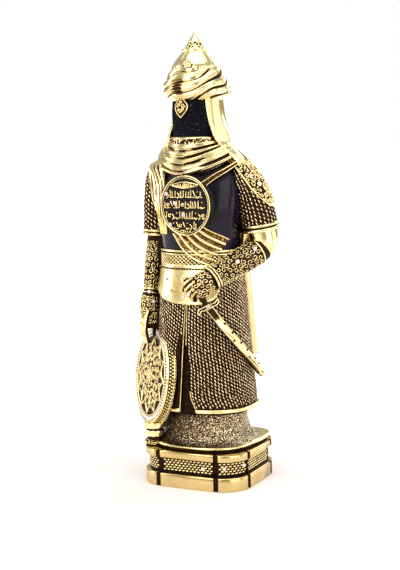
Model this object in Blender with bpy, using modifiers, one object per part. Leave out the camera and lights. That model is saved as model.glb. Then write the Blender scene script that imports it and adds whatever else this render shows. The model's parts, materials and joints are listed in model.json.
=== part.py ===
"""Armoured soldier figurine: a gilt cast figure with sword and shield and glass stones, on a two-tier plinth.

Metres, +Z up, figure facing -Y, origin under the middle of the plinth. The casting is one solid. Its forms
are lofts, sweeps, thick sheets and turned profiles joined by one Boolean union. The figure is drawn in its
own unit, a millimetre at the real height, with heights counted from the ground under the plinth. An azimuth
is a compass angle round the figure, in degrees: 0 is its front, 90 its left side, 180 its back.
"""

import math

import bmesh
import bpy
from mathutils import Matrix, Vector

# Driving sizes, in metres
FIGURE_HEIGHT = 0.2751
PLINTH_WIDTH = 0.0765
PLINTH_DEPTH = 0.071
PLINTH_CORNER_CUT = 0.017
PLINTH_NOTCH_WIDTH = 0.0014
PLINTH_NOTCH_DEPTH = 0.0020
PLINTH_CORNER_BULGE = 0.0038
LOWER_SLAB_HEIGHT = 0.0093
FRIEZE_HEIGHT = 0.0106
FRIEZE_INSET = 0.0026
UPPER_SLAB_HEIGHT = 0.0047
SLAB_EDGE = 0.0006
SEAT_GAP = 0.0003
STONE_DIAMETER = 0.003
STONE_HEIGHT = 0.0011
STONE_GAP = 0.0003
SHIELD_RADIUS = 0.0322
SHIELD_THICKNESS = 0.0054
SCABBARD_WIDTH = 0.005
SCABBARD_THICKNESS = 0.0032

# The drawing's own heights, in figure units
DRAWN_FOOT = 24.9
DRAWN_TIP = 300.0

PLINTH_HEIGHT = LOWER_SLAB_HEIGHT + FRIEZE_HEIGHT + UPPER_SLAB_HEIGHT
FOOT_HEIGHT = PLINTH_HEIGHT + SEAT_GAP
UNIT = FIGURE_HEIGHT / (DRAWN_TIP - DRAWN_FOOT)

# Body outline: height, half width, half depth, centre's y
BODY = (
    (51.0, 34.7, 30.0, -2.5),
    (70.0, 33.2, 28.6, -2.6),
    (100.0, 31.0, 26.2, -3.0),
    (130.0, 28.6, 23.2, -3.2),
    (150.0, 26.6, 20.8, -3.0),
    (165.0, 27.4, 22.0, -3.4),
    (185.0, 29.6, 24.2, -4.0),
    (200.0, 30.0, 22.5, -3.4),
    (210.0, 27.0, 18.5, -2.6),
    (220.0, 17.0, 15.0, -4.5),
)
HEM_Z = 51.5
WAIST_Z = 150.0
COAT_THICKNESS = 3.2
SLIT_RECESS = 2.2
HEAD_Y = -6.5
HEAD_TURN = -6.0


def place(x, y, z):
    """A point of the drawing, in metres."""
    return Vector((x * UNIT, y * UNIT, FOOT_HEIGHT + (z - DRAWN_FOOT) * UNIT))


def blend(rows, position):
    """The row at this position, on a smooth curve through the rows' own values."""
    rows = [tuple(row) for row in rows]
    position = min(max(position, rows[0][0]), rows[-1][0])
    k = max(i for i in range(len(rows) - 1) if rows[i][0] <= position)
    start, end = rows[k], rows[k + 1]
    before, after = rows[max(k - 1, 0)], rows[min(k + 2, len(rows) - 1)]
    span = end[0] - start[0]
    t = (position - start[0]) / span
    found = []
    for i in range(1, len(start)):
        leave = span * (end[i] - before[i]) / (end[0] - before[0])
        arrive = span * (after[i] - start[i]) / (after[0] - start[0])
        found.append(
            (2 * t**3 - 3 * t**2 + 1) * start[i] + (t**3 - 2 * t**2 + t) * leave
            + (3 * t**2 - 2 * t**3) * end[i] + (t**3 - t**2) * arrive
        )
    return found


def spread(first, last, count):
    """Evenly spaced numbers, both ends included."""
    return [first + (last - first) * i / (count - 1) for i in range(count)]


def oval(azimuth, half_width, half_depth, squareness=2.0):
    """(x, y) on an oval, where a squareness over 2 fills its corners."""
    a = math.radians(azimuth)
    s, c = math.sin(a), math.cos(a)
    reach = (abs(s) ** squareness + abs(c) ** squareness) ** (-1 / squareness)
    return half_width * reach * s, -half_depth * reach * c


def on_body(azimuth, z, lift=0.0):
    """Drawing point on the body's outline, lifted outwards."""
    half_width, half_depth, centre_y = blend(BODY, z)
    x, y = oval(azimuth, half_width + lift, half_depth + lift, 2.25)
    return Vector((x, centre_y + y, z))


# Blender helpers


def fresh_scene():
    for obj in list(bpy.data.objects):
        bpy.data.objects.remove(obj)


def collection(name, hidden=False):
    made = bpy.data.collections.new(name)
    bpy.context.scene.collection.children.link(made)
    made.hide_render = hidden
    return made


def material(name, color, roughness, metallic=0.0, transmission=0.0):
    made = bpy.data.materials.new(name)
    made.use_nodes = True
    shader = made.node_tree.nodes["Principled BSDF"]
    shader.inputs["Base Color"].default_value = (*color, 1.0)
    shader.inputs["Roughness"].default_value = roughness
    shader.inputs["Metallic"].default_value = metallic
    shader.inputs["Transmission Weight"].default_value = transmission
    return made


def add_object(name, mesh, group, finish):
    obj = bpy.data.objects.new(name, mesh)
    group.objects.link(obj)
    mesh.materials.append(finish)
    return obj


class Casting:
    """Collects the forms that the union joins into the cast figure."""

    def __init__(self, group, finish):
        self.group = group
        self.finish = finish

    def add(self, name, mesh):
        obj = add_object(name, mesh, self.group, self.finish)
        obj.hide_render = True
        obj.display_type = "WIRE"
        return obj


def mesh_of(name, bm):
    bmesh.ops.recalc_face_normals(bm, faces=bm.faces)
    mesh = bpy.data.meshes.new(name)
    bm.to_mesh(mesh)
    bm.free()
    return mesh


def loft(name, rings, closed=False):
    """A solid through rings of points in metres. A closed one joins its last ring to its first."""
    bm = bmesh.new()
    rows = [[bm.verts.new(point) for point in ring] for ring in rings]
    count = len(rows[0])
    pairs = list(zip(rows, rows[1:]))
    if closed:
        pairs.append((rows[-1], rows[0]))
    else:
        bm.faces.new(rows[0])
        bm.faces.new(rows[-1])
    for low, high in pairs:
        for i in range(count):
            j = (i + 1) % count
            bm.faces.new((low[i], low[j], high[j], high[i]))
    return mesh_of(name, bm)


def standing_loft(name, stations, sides, shape=None):
    """A loft through level ovals of height, half widths and centre. shape(azimuth, z) scales them."""
    rings = []
    for z, half_width, half_depth, centre_x, centre_y in stations:
        ring = []
        for i in range(sides):
            azimuth = 360.0 * i / sides
            share = shape(azimuth, z) if shape else 1.0
            x, y = oval(azimuth, half_width * share, half_depth * share)
            ring.append(place(centre_x + x, centre_y + y, z))
        rings.append(ring)
    return loft(name, rings)


def frames_along(path, closed=False):
    """(point, side, out) at each point of a path. out leads away from the body's axis."""
    found = []
    count = len(path)
    for i, point in enumerate(path):
        ahead = path[(i + 1) % count] if closed else path[min(i + 1, count - 1)]
        behind = path[i - 1] if closed or i else path[0]
        along = (ahead - behind).normalized()
        hint = Vector((point.x, point.y + 3.0, 0.0)).normalized()
        out = (hint - along * hint.dot(along)).normalized()
        found.append((point, along.cross(out).normalized(), out))
    return found


def sweep(name, path, half_widths, half_heights, sides, closed=False):
    """A solid along a path of drawing points. Its section is wide across the body and high away from it."""
    rings = []
    for (point, side, out), wide, high in zip(frames_along(path, closed), half_widths, half_heights):
        ring = []
        for i in range(sides):
            a = 2 * math.pi * (i + 0.5) / sides
            ring.append(place(*(point + side * (wide * math.cos(a)) + out * (high * math.sin(a)))))
        rings.append(ring)
    return loft(name, rings, closed)


def limb(casting, name, stations, sides):
    """A sweep through stations: x, y, z, radius."""
    path = [Vector(station[:3]) for station in stations]
    radii = [station[3] for station in stations]
    return casting.add(name, sweep(name, path, radii, radii, sides))


def ridged_band(casting, name, surface, ridges, stations, rise, depth, out_at):
    """One form with ridges along it, its back sunk by depth. surface(u, v) is its face, u across."""
    rings = []
    for v in spread(0.0, 1.0, stations):
        ring = []
        for k in range(2 * ridges + 1):
            point = surface(k / (2 * ridges), v)
            ring.append(point + out_at(point) * (rise if k % 2 else 0.0))
        for u in (1.0, 0.5, 0.0):
            point = surface(u, v)
            ring.append(point - out_at(point) * depth)
        rings.append([place(*point) for point in ring])
    casting.add(name, loft(name, rings))


def numbered(points):
    """Points as rows that blend can read, counted from 0."""
    return [(float(i), *point) for i, point in enumerate(points)]


def between_paths(first, last):
    """Surface function between two paths of drawing points."""

    first, last = numbered(first), numbered(last)

    def surface(u, v):
        start = Vector(blend(first, v * (len(first) - 1)))
        end = Vector(blend(last, v * (len(last) - 1)))
        return start + (end - start) * u

    return surface


def sheet(casting, name, surface, columns, rows, thickness):
    """An open surface with thickness behind it. surface(u, v) is its face, u across and v up."""
    bm = bmesh.new()
    grid = []
    for v in spread(0.0, 1.0, rows):
        grid.append([bm.verts.new(place(*surface(u, v))) for u in spread(0.0, 1.0, columns)])
    for low, high in zip(grid, grid[1:]):
        for i in range(columns - 1):
            bm.faces.new((low[i], low[i + 1], high[i + 1], high[i]))
    mesh = bpy.data.meshes.new(name)
    bm.to_mesh(mesh)
    bm.free()
    obj = casting.add(name, mesh)
    solidify = obj.modifiers.new("wall", "SOLIDIFY")
    solidify.thickness = thickness * UNIT
    solidify.offset = -1.0
    solidify.use_even_offset = False
    return obj


def turned(name, profile, steps, scale=(1.0, 1.0, 1.0)):
    """Mesh of a profile of (radius, height) in figure units, turned about Z."""
    bm = bmesh.new()
    points = [bm.verts.new((radius * UNIT, 0.0, height * UNIT)) for radius, height in profile]
    for upper, lower in zip(points, points[1:]):
        bm.edges.new((upper, lower))
    bmesh.ops.spin(
        bm, geom=bm.verts[:] + bm.edges[:], axis=(0, 0, 1), cent=(0, 0, 0),
        angle=2 * math.pi, steps=steps, use_merge=True,
    )
    bmesh.ops.remove_doubles(bm, verts=bm.verts, dist=1e-6)
    bmesh.ops.scale(bm, verts=bm.verts, vec=scale)
    return mesh_of(name, bm)


def turn_to(azimuth, lean=0.0):
    """Rotation that points +Z to this azimuth, level, or leant upwards by some degrees."""
    a, up = math.radians(azimuth), math.radians(lean)
    out = Vector((math.sin(a) * math.cos(up), -math.cos(a) * math.cos(up), math.sin(up)))
    return facing(out, Vector((0, 0, 1)))


def facing(out, up_hint):
    """Rotation whose Z is out and whose Y is as near up_hint as it can be."""
    z = out.normalized()
    y = (up_hint - z * up_hint.dot(z)).normalized()
    return Matrix((y.cross(z), y, z)).transposed().to_4x4()


def moved(mesh, location, rotation):
    mesh.transform(Matrix.Translation(location) @ rotation)
    return mesh


# Plinth


def plinth_outline(inset=0.0):
    """Plan of a slab: four straight sides and four bulging corner segments, parted by notches."""
    half_x, half_y, cut = PLINTH_WIDTH / 2, PLINTH_DEPTH / 2, PLINTH_CORNER_CUT
    notch, deep = PLINTH_NOTCH_WIDTH, PLINTH_NOTCH_DEPTH
    outline = []
    for sx, sy in ((1, -1), (1, 1), (-1, 1), (-1, -1)):
        on_front_or_back = Vector((sx * (half_x - cut), sy * half_y, 0))
        on_side = Vector((sx * half_x, sy * (half_y - cut), 0))
        towards_middle = Vector((-sx, 0, 0)), Vector((0, -sy, 0))
        ends = list(zip((on_front_or_back, on_side), towards_middle))
        if sx * sy > 0:
            ends.reverse()
        (start, back), (end, onwards) = ends
        out = Vector((sx, sy, 0)).normalized()
        run = (end - start).normalized()
        length = (end - start).length
        outline.append(start + back * notch)
        outline.append(start - out * deep)
        for share in spread(notch / length, 1 - notch / length, 5):
            bulge = PLINTH_CORNER_BULGE * (1 - (2 * share - 1) ** 2)
            outline.append(start + run * (length * share) + out * bulge)
        outline.append(end - out * deep)
        outline.append(end + onwards * notch)
    return [shrunk(point, inset) for point in outline]


def shrunk(point, inset):
    half_x, half_y = PLINTH_WIDTH / 2, PLINTH_DEPTH / 2
    return Vector((point.x * (1 - inset / half_x), point.y * (1 - inset / half_y), 0))


def build_plinth(group, finish):
    frieze_top = LOWER_SLAB_HEIGHT + FRIEZE_HEIGHT
    tiers = (
        (0.0, SLAB_EDGE), (SLAB_EDGE, 0.0), (LOWER_SLAB_HEIGHT - SLAB_EDGE, 0.0),
        (LOWER_SLAB_HEIGHT, SLAB_EDGE), (LOWER_SLAB_HEIGHT, FRIEZE_INSET), (frieze_top, FRIEZE_INSET),
        (frieze_top, 0.0), (PLINTH_HEIGHT - SLAB_EDGE, 0.0), (PLINTH_HEIGHT, SLAB_EDGE),
    )
    rings = [[point + Vector((0, 0, z)) for point in plinth_outline(inset)] for z, inset in tiers]
    return add_object("plinth", loft("plinth", rings), group, finish)


# Foot, skirt and body


def add_foot(casting):
    """Flared foot with a lip, rounder in front and squarer behind, where it steps wider."""
    stations = (
        (DRAWN_FOOT, 33.4, 1.0), (26.8, 33.4, 1.0), (26.8, 35.2, 1.0), (28.6, 35.2, 1.0), (29.6, 32.6, 0.8),
        (32.0, 29.4, 0.4), (36.5, 27.4, 0.15), (46.0, 26.6, 0.0), (60.0, 26.6, 0.0),
    )
    sides = 24
    rings = []
    for z, reach, spreading in stations:
        ring = []
        for i in range(sides):
            azimuth = 360.0 * (i + 0.5) / sides
            behind = 90 < azimuth < 270
            wider = 1.0 + (0.055 if behind else 0.0) * spreading
            squareness = 2.1 + (2.2 if behind else 0.5) * spreading
            ring.append(place(*oval(azimuth, reach * wider, reach * 0.93, squareness), z))
        rings.append(ring)
    casting.add("foot", loft("foot", rings))


def slit_edge(z, side):
    """Azimuth of the coat's front slit at a height: side -1 is the figure's right edge, 1 its left."""
    widths = ((50.0, -4.0, 5.4), (90.0, -3.2, 3.4), (125.0, -2.2, 2.4), (150.0, -2.0, 2.2))
    middle, half = blend(widths, z)
    return math.degrees(math.asin((middle + side * half) / blend(BODY, z)[0]))


def coat_surface(bottom, top, lift):
    """Surface round the body from the slit's left edge to its right edge."""

    def surface(u, v):
        z = bottom + (top - bottom) * v
        start, end = slit_edge(z, 1), slit_edge(z, -1) + 360.0
        return on_body(start + (end - start) * u, z, lift)

    return surface


def add_body(casting):
    """The body's core, which shows as the under-robe in the slit and as the cuirass over the belt."""
    stations = [(z, *blend(BODY, z)) for z in (51.2, 100.0, 148.0, 162.0, 176.0, 190.0, 202.0, 212.0)]
    rings = []
    for z, half_width, half_depth, centre_y in stations:
        under = SLIT_RECESS if z < WAIST_Z else 0.0
        ring = [oval(360.0 * i / 24, half_width - under, half_depth - under, 2.25) for i in range(24)]
        rings.append([place(x, centre_y + y, z) for x, y in ring])
    casting.add("body", loft("body", rings))
    sheet(casting, "mail_coat", coat_surface(HEM_Z + 0.8, WAIST_Z, 0.0), 31, 5, COAT_THICKNESS)
    sheet(casting, "hem", coat_surface(HEM_Z, HEM_Z + 3.2, 0.9), 31, 2, COAT_THICKNESS)


def add_belt_and_apron(casting):
    def belt(u, v):
        return on_body(360.0 * u, 147.2 + 8.4 * v, 1.7)

    rings = [[place(*belt(i / 28, v)) for i in range(28)] for v in (0.0, 1.0)]
    casting.add("belt", loft("belt", rings))
    rings = [[place(*on_body(360.0 * i / 28, z, 1.1)) for i in range(28)] for z in (156.6, 158.8)]
    casting.add("belt_upper_bead", loft("belt_upper_bead", rings))

    hem = ((-64.0, 132.0), (-34.0, 125.2), (0.0, 123.0), (22.0, 123.8), (36.0, 127.6), (50.0, 142.0))

    def apron(u, v):
        azimuth = -64.0 + 114.0 * u
        bottom = blend(hem, azimuth)[0]
        return on_body(azimuth, bottom + (149.0 - bottom) * v, 2.4 - 0.6 * v)

    sheet(casting, "apron_plate", apron, 14, 3, 4.8)


# Head


def add_head(casting):
    veil = (
        (227.0, 15.6, 16.6, 0.0, HEAD_Y), (238.0, 15.8, 17.2, 0.0, HEAD_Y),
        (249.0, 15.9, 17.3, 0.0, HEAD_Y), (260.0, 15.0, 16.0, 0.0, HEAD_Y),
    )
    casting.add("veil", standing_loft("veil", veil, 20))
    opening = ((212.0, 62.0), (226.0, 52.0), (236.0, 44.0), (262.0, 41.0))

    def open_front(azimuth, z):
        off = abs((azimuth - HEAD_TURN + 180) % 360 - 180)
        return 0.8 if off < blend(opening, z)[0] else 1.0

    hood = (
        (208.0, 31.5, 17.0, 0.5, 0.0), (213.0, 33.0, 17.5, 1.0, -0.5), (219.0, 31.0, 18.5, 1.5, -2.5),
        (224.0, 26.4, 18.6, 1.6, -4.2), (229.0, 22.4, 18.6, 1.3, -5.4), (236.0, 20.0, 18.3, 0.8, -6.2),
        (246.0, 17.9, 18.0, 0.2, HEAD_Y), (261.0, 16.6, 17.4, 0.0, HEAD_Y),
    )
    casting.add("hood", standing_loft("hood", hood, 24, shape=open_front))
    gorget = ((223.0, 17.4, 18.6, 0.0, HEAD_Y), (231.5, 16.8, 18.2, 0.0, HEAD_Y))
    casting.add("gorget", standing_loft("gorget", gorget, 20))

    def wound(azimuth, z):
        return 1.0 + 0.045 * math.cos(2 * math.pi * ((z - 256.0) / 7.0 - 7.0 * azimuth / 360.0))

    turban = (
        (256.4, 17.6), (258.4, 20.0), (261.0, 21.0), (264.5, 21.2),
        (268.0, 20.2), (271.5, 18.2), (275.0, 16.4), (277.0, 14.0),
    )
    turban = [(z, radius, radius, 0.0, HEAD_Y) for z, radius in turban]
    casting.add("turban", standing_loft("turban", turban, 24, shape=wound))
    helmet = (
        (0.0, 300.0), (1.0, 297.8), (2.4, 296.0), (4.2, 293.6), (5.6, 291.2), (6.6, 289.2), (8.2, 288.4),
        (8.2, 287.0), (10.6, 284.4), (13.6, 280.8), (15.6, 276.8), (16.0, 272.0), (0.0, 271.0),
    )
    mesh = turned("helmet", [(radius, z - DRAWN_FOOT) for radius, z in helmet], 14)
    casting.add("helmet", moved(mesh, place(-0.6, HEAD_Y, DRAWN_FOOT), Matrix.Identity(4)))


def pendant_station():
    """Where the pendant hangs on the veil: its middle, and the way it faces."""
    azimuth = HEAD_TURN - 5.0
    x, y = oval(azimuth, 15.9, 17.3)
    return Vector((x, HEAD_Y + y, 251.0)), azimuth


def add_pendant(casting):
    middle, azimuth = pendant_station()
    outline = ((-5.2, 0.3), (-3.0, 2.2), (-0.4, 3.9), (2.0, 4.0), (3.8, 2.6), (5.4, 0.9))
    rings = []
    around = spread(0, 2 * math.pi * 7 / 8, 8)
    for rise, half in outline:
        section = [Vector((half * math.sin(a), rise, 1.3 * math.cos(a))) for a in around]
        rings.append([turn_to(azimuth) @ (p * UNIT) + place(*middle) for p in section])
    casting.add("pendant", loft("pendant", rings))


def add_cowl(casting):
    """The scarf wound round the neck: one skin whose folds run round it and hang lower in front."""
    rows = (
        (15.4, 16.6, -6.5, 228.6, 232.0), (19.8, 20.3, -6.0, 225.9, 231.2), (19.4, 19.9, -5.6, 222.7, 229.4),
        (23.3, 22.8, -5.0, 220.7, 228.2), (22.9, 21.7, -4.6, 217.7, 226.2), (26.5, 24.6, -4.0, 215.7, 224.8),
        (25.9, 23.4, -3.6, 213.0, 222.6), (29.0, 25.8, -3.2, 210.9, 220.6), (28.2, 24.8, -3.0, 208.6, 218.4),
        (30.2, 26.0, -2.8, 206.9, 216.4), (26.6, 21.4, -2.8, 204.6, 213.6),
    )
    rings = []
    for half_width, half_depth, centre_y, front_z, back_z in rows:
        ring = []
        for i in range(20):
            azimuth = 18.0 * i
            x, y = oval(azimuth, half_width, half_depth)
            drop = ((1 + math.cos(math.radians(azimuth))) / 2) ** 1.3
            ring.append(place(x, centre_y + y, back_z + (front_z - back_z) * drop))
        rings.append(ring)
    casting.add("cowl", loft("cowl", rings))


# Breast: disc, sashes and strap

DISC_HALF_WIDTH = 17.9
DISC_HALF_HEIGHT = 19.6
DISC_CENTRE = Vector((1.2, -30.4, 188.0))
DISC_AZIMUTH = 0.0
DISC_RECESS = 0.7
STROKE_ROWS = (10.6, 3.4, -3.8, -11.0)
STROKE_PITCH = 4.6
STROKE_HEIGHT = 4.2


def on_disc(across, up, out=0.0):
    """Drawing point on the breast disc's sunk field."""
    local = Vector((across, up, out - DISC_RECESS))
    return DISC_CENTRE + (turn_to(DISC_AZIMUTH) @ local)


def add_disc(casting):
    radius = DISC_HALF_HEIGHT
    profile = (
        (0.0, -DISC_RECESS), (radius - 2.0, -DISC_RECESS), (radius - 1.7, 0.0), (radius - 0.3, 0.0),
        (radius, -0.6), (radius, -7.5), (0.0, -7.5),
    )
    mesh = turned("breast_disc", profile, 24, (DISC_HALF_WIDTH / DISC_HALF_HEIGHT, 1.0, 1.0))
    casting.add("breast_disc", moved(mesh, place(*DISC_CENTRE), turn_to(DISC_AZIMUTH)))


def add_strokes(casting):
    """Rows of shallow strokes, which stand for a line of writing and aren't letters."""
    for row, up in enumerate(STROKE_ROWS):
        reach = (DISC_HALF_WIDTH - 4.0) * math.sqrt(1 - (up / DISC_HALF_HEIGHT) ** 2)
        count = int(2 * reach / STROKE_PITCH) + 1
        for k, across in enumerate(spread(-reach, reach, count)):
            tall = STROKE_HEIGHT * (1.0 if (k + row) % 3 else 0.55)
            bm = bmesh.new()
            bmesh.ops.create_cube(bm, size=1.0)
            bmesh.ops.scale(bm, verts=bm.verts, vec=(1.1 * UNIT, tall * UNIT, 1.6 * UNIT))
            slant = Matrix.Rotation(math.radians(12.0 * ((k + row) % 3 - 1)), 4, "Z")
            name = f"stroke_{row}_{k}"
            mesh = moved(mesh_of(name, bm), place(*on_disc(across, up, -0.2)), turn_to(DISC_AZIMUTH) @ slant)
            casting.add(name, mesh)


def smooth_path(points, count):
    """Points evenly spaced by number along a smooth curve through these."""
    rows = numbered(points)
    return [Vector(blend(rows, t)) for t in spread(0.0, len(rows) - 1.0, count)]


def away_from_body(point):
    return Vector((point.x, point.y + 3.0, 0.0)).normalized()


def add_sashes(casting):
    outer = (
        (-31.0, -4.5, 212.0), (-28.8, -13.0, 203.0), (-26.8, -17.0, 190.0),
        (-24.0, -20.0, 177.0), (-22.4, -20.4, 166.0),
    )
    inner = (
        (-19.5, -19.6, 213.5), (-19.6, -22.0, 204.0), (-19.8, -23.4, 190.0),
        (-20.0, -23.2, 177.0), (-19.6, -22.6, 166.0),
    )
    ridged_band(casting, "shoulder_sash", between_paths(outer, inner), 3, 6, 1.6, 6.0, away_from_body)
    top = ((0.0, 20.0, 175.5), (1.0, 34.0, 171.0), (2.0, 47.0, 168.0), (3.0, 58.0, 165.4))
    bottom = ((0.0, -18.0, 169.5), (1.0, -8.0, 160.2), (2.0, 7.0, 153.2), (3.0, 29.0, 148.4))

    def waist_sash(u, v):
        start, end = Vector((*blend(top, 3.0 * v), 0.0)), Vector((*blend(bottom, 3.0 * v), 0.0))
        azimuth, z, _ = start + (end - start) * u
        return on_body(azimuth, z, 1.2)

    ridged_band(casting, "waist_sash", waist_sash, 4, 8, 2.0, 5.0, away_from_body)
    strap = smooth_path([on_body(26.0, 200.0, 0.6), on_body(43.0, 207.0, 0.6), (26.0, -9.5, 214.5)], 5)
    casting.add("disc_strap", sweep("disc_strap", strap, [2.1] * 5, [1.6] * 5, 6))


# Arms


def add_right_arm(casting):
    limb(casting, "right_sleeve", (
        (-27.0, -2.0, 211.5, 6.0), (-31.5, -2.0, 205.0, 8.4), (-34.0, -1.2, 194.0, 8.6),
        (-35.6, 0.0, 180.0, 8.5), (-36.4, 0.6, 166.0, 8.4),
    ), 12)
    limb(casting, "right_sleeve_hem", ((-36.3, 0.6, 167.6, 9.1), (-36.6, 0.6, 163.2, 9.1)), 12)
    limb(casting, "right_forearm", (
        (-36.8, 0.8, 167.0, 5.9), (-37.2, 0.2, 158.0, 5.8), (-37.6, -2.6, 147.0, 5.5),
        (-37.4, -6.8, 133.0, 5.2), (-37.3, -9.6, 124.0, 4.7),
    ), 12)
    limb(casting, "right_arm_web", (
        (-31.0, 0.0, 170.0, 4.5), (-31.4, -2.0, 140.0, 4.0), (-32.0, -6.0, 108.0, 3.8),
    ), 8)
    limb(casting, "right_hand", (
        (-37.4, -9.8, 125.5, 5.3), (-37.4, -11.4, 119.0, 5.8),
        (-36.8, -13.0, 111.0, 5.4), (-36.0, -13.6, 103.0, 4.0),
    ), 10)
    a = math.radians(SHIELD_AZIMUTH)
    across = Vector((math.cos(a), math.sin(a), 0))
    out = Vector((math.sin(a), -math.cos(a), 0.25)).normalized()
    knuckles = [Vector(point) for point in (
        (-36.8, -14.6, 114.4), (-36.6, -17.4, 107.0), (-35.8, -18.3, 100.0), (-35.0, -17.6, 96.0),
    )]
    inner, outer = ([point + across * along for point in knuckles] for along in (-4.8, 4.8))
    ridged_band(casting, "right_fingers", between_paths(inner, outer), 4, 4, 1.1, 4.6, lambda point: out)


def add_left_arm(casting):
    limb(casting, "left_sleeve", (
        (25.0, -2.0, 212.0, 6.0), (30.5, -1.4, 206.5, 8.8), (34.5, 0.8, 196.0, 9.9),
        (37.4, 3.0, 183.0, 11.2), (38.8, 4.6, 170.5, 12.0),
    ), 14)
    limb(casting, "left_sleeve_hem", ((38.7, 4.4, 172.6, 12.5), (39.2, 5.0, 168.6, 12.7)), 14)
    limb(casting, "left_elbow", (
        (39.0, 4.8, 172.0, 9.6), (40.6, 5.6, 166.0, 9.8), (41.0, 5.0, 160.0, 9.2), (39.2, 2.0, 155.6, 7.2),
    ), 14)
    limb(casting, "left_forearm", (
        (40.2, 4.0, 158.0, 8.3), (34.6, -4.5, 153.2, 8.6), (27.6, -13.0, 148.4, 8.4),
        (21.0, -21.0, 143.6, 8.1), (16.5, -26.6, 140.0, 7.8),
    ), 14)
    limb(casting, "left_cuff", ((17.6, -25.3, 140.9, 8.6), (15.2, -28.2, 138.9, 8.5)), 14)
    hand = (
        (16.8, -26.4, 139.4, 7.8, 6.4), (13.2, -30.0, 137.2, 8.6, 6.2),
        (9.2, -33.0, 134.6, 8.2, 5.4), (6.2, -34.4, 132.8, 5.8, 4.2),
    )
    path = [Vector(row[:3]) for row in hand]
    mesh = sweep("left_hand", path, [row[3] for row in hand], [row[4] for row in hand], 12)
    casting.add("left_hand", mesh)
    across = Vector((0.72, 0.16, -0.66))
    out = Vector((-0.35, -0.93, -0.1)).normalized()
    knuckles = [Vector(point) for point in (
        (12.0, -35.6, 138.4), (8.4, -38.2, 135.2), (6.2, -38.2, 132.0), (6.6, -35.8, 129.6),
    )]
    upper, lower = ([point + across * along for point in knuckles] for along in (-6.3, 5.7))
    ridged_band(casting, "left_fingers", between_paths(upper, lower), 4, 4, 1.2, 5.0, lambda point: out)


def add_pauldron(casting):
    """Shoulder plate: rounded over the shoulder, drawn to a blunt point down the arm."""
    spine = (
        (0.0, 22.0, -2.6, 219.5, 8.5, 60.0), (0.3, 33.0, -1.0, 215.5, 10.5, 78.0),
        (0.55, 41.2, 0.6, 206.0, 11.4, 78.0), (0.8, 46.4, 2.2, 195.0, 12.2, 58.0),
        (1.0, 49.4, 3.2, 186.2, 12.6, 22.0),
    )

    def surface(u, v):
        x, y, z, radius, half_angle = blend(spine, 1.0 - v)
        a = math.radians((2 * u - 1) * half_angle)
        down = blend([(0.0, 0.25), (0.4, 0.7), (1.0, 1.0)], 1.0 - v)[0]
        inwards = radius * (1 - math.cos(a))
        return Vector((x - inwards * down, y - radius * math.sin(a), z - inwards * (1 - down)))

    sheet(casting, "pauldron", lambda u, v: surface(1 - u, v), 8, 6, 3.0)


# Sword, shield and post

BLADE = (
    (16.2, -30.4, 122.4), (24.6, -26.0, 109.5), (31.6, -17.2, 96.0), (36.4, -5.0, 83.0), (38.4, 6.4, 71.6),
)
POMMEL = Vector((3.4, -37.3, 141.0))
SHIELD_CENTRE = Vector((-33.9, -14.6, 70.8))
SHIELD_AZIMUTH = -42.0
POST_CENTRE = Vector((-31.0, -20.0, 0.0))


def add_sword(casting):
    path = smooth_path(BLADE, 9)
    half_width = SCABBARD_WIDTH / UNIT / 2
    half_thick = SCABBARD_THICKNESS / UNIT / 2
    casting.add("scabbard", sweep("scabbard", path, [half_width] * 9, [half_thick] * 9, 8))
    guard = path[0]
    limb(casting, "grip", ((*POMMEL, 2.2), (*guard, 2.2)), 8)
    ends = ((-1.4, -0.3, 1.6, 1.4), (0.0, 0.0, 0.0, 2.8), (1.5, 0.4, -1.8, 2.0))
    limb(casting, "pommel", [(*(POMMEL + Vector(end[:3])), end[3]) for end in ends], 10)
    _, side, out = frames_along(path)[0]
    along = (path[1] - path[0]).normalized()
    run = (side * 0.966 + along * 0.26).normalized()
    bends = ((-7.0, 2.0), (-5.6, 0.4), (-2.6, 0.6), (2.6, -0.2), (5.6, 0.2), (7.0, 1.6))
    arms = [guard + run * share + out * 0.4 + along * curl for share, curl in bends]
    casting.add("crossguard", sweep("crossguard", arms, [1.1] * 6, [1.5] * 6, 6))


def add_shield(casting):
    radius, half = SHIELD_RADIUS / UNIT, SHIELD_THICKNESS / UNIT / 2
    profile = (
        (0.0, half + 1.6), (9.0, half + 1.2), (20.0, half + 0.5),
        (radius - 7.6, half + 0.2), (radius - 7.0, half + 0.7), (radius - 2.0, half + 0.3),
        (radius - 1.4, half + 0.7), (radius, half + 0.2), (radius, -half), (0.0, -half),
    )
    mesh = turned("shield", profile, 26)
    casting.add("shield", moved(mesh, place(*SHIELD_CENTRE), turn_to(SHIELD_AZIMUTH)))


def add_post(casting):
    """Turned post that the shield's rim rests on."""
    profile = (
        (0.0, 41.6), (5.4, 41.0), (7.2, 40.0), (7.2, 36.6), (5.6, 35.6), (5.6, 34.9), (6.1, 34.4),
        (6.1, 30.9), (5.2, 30.3), (5.2, 28.8), (6.7, 28.2), (6.9, DRAWN_FOOT), (0.0, DRAWN_FOOT),
    )
    mesh = turned("post", [(radius, z - DRAWN_FOOT) for radius, z in profile], 10)
    casting.add("post", moved(mesh, place(POST_CENTRE.x, POST_CENTRE.y, DRAWN_FOOT), Matrix.Identity(4)))


def add_cape(casting):
    """Cape down the back, with long shallow folds that deepen towards its hem."""

    def surface(u, v):
        z = 86.0 + 128.0 * v
        edge = blend(((0.0, 113.0), (0.5, 106.0), (0.8, 100.0), (1.0, 96.0)), v)[0]
        azimuth = edge + (360.0 - 2 * edge) * u
        fold = (1.5 - 0.9 * v) * math.cos(math.radians(9.0 * (azimuth - 180.0)))
        lift = blend(((0.0, 5.0), (0.35, 5.0), (0.7, 4.4), (0.9, 3.2), (1.0, 2.4)), v)[0]
        return on_body(azimuth, z, lift + fold)

    sheet(casting, "cape", surface, 22, 6, 9.5)


# Stones


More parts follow.
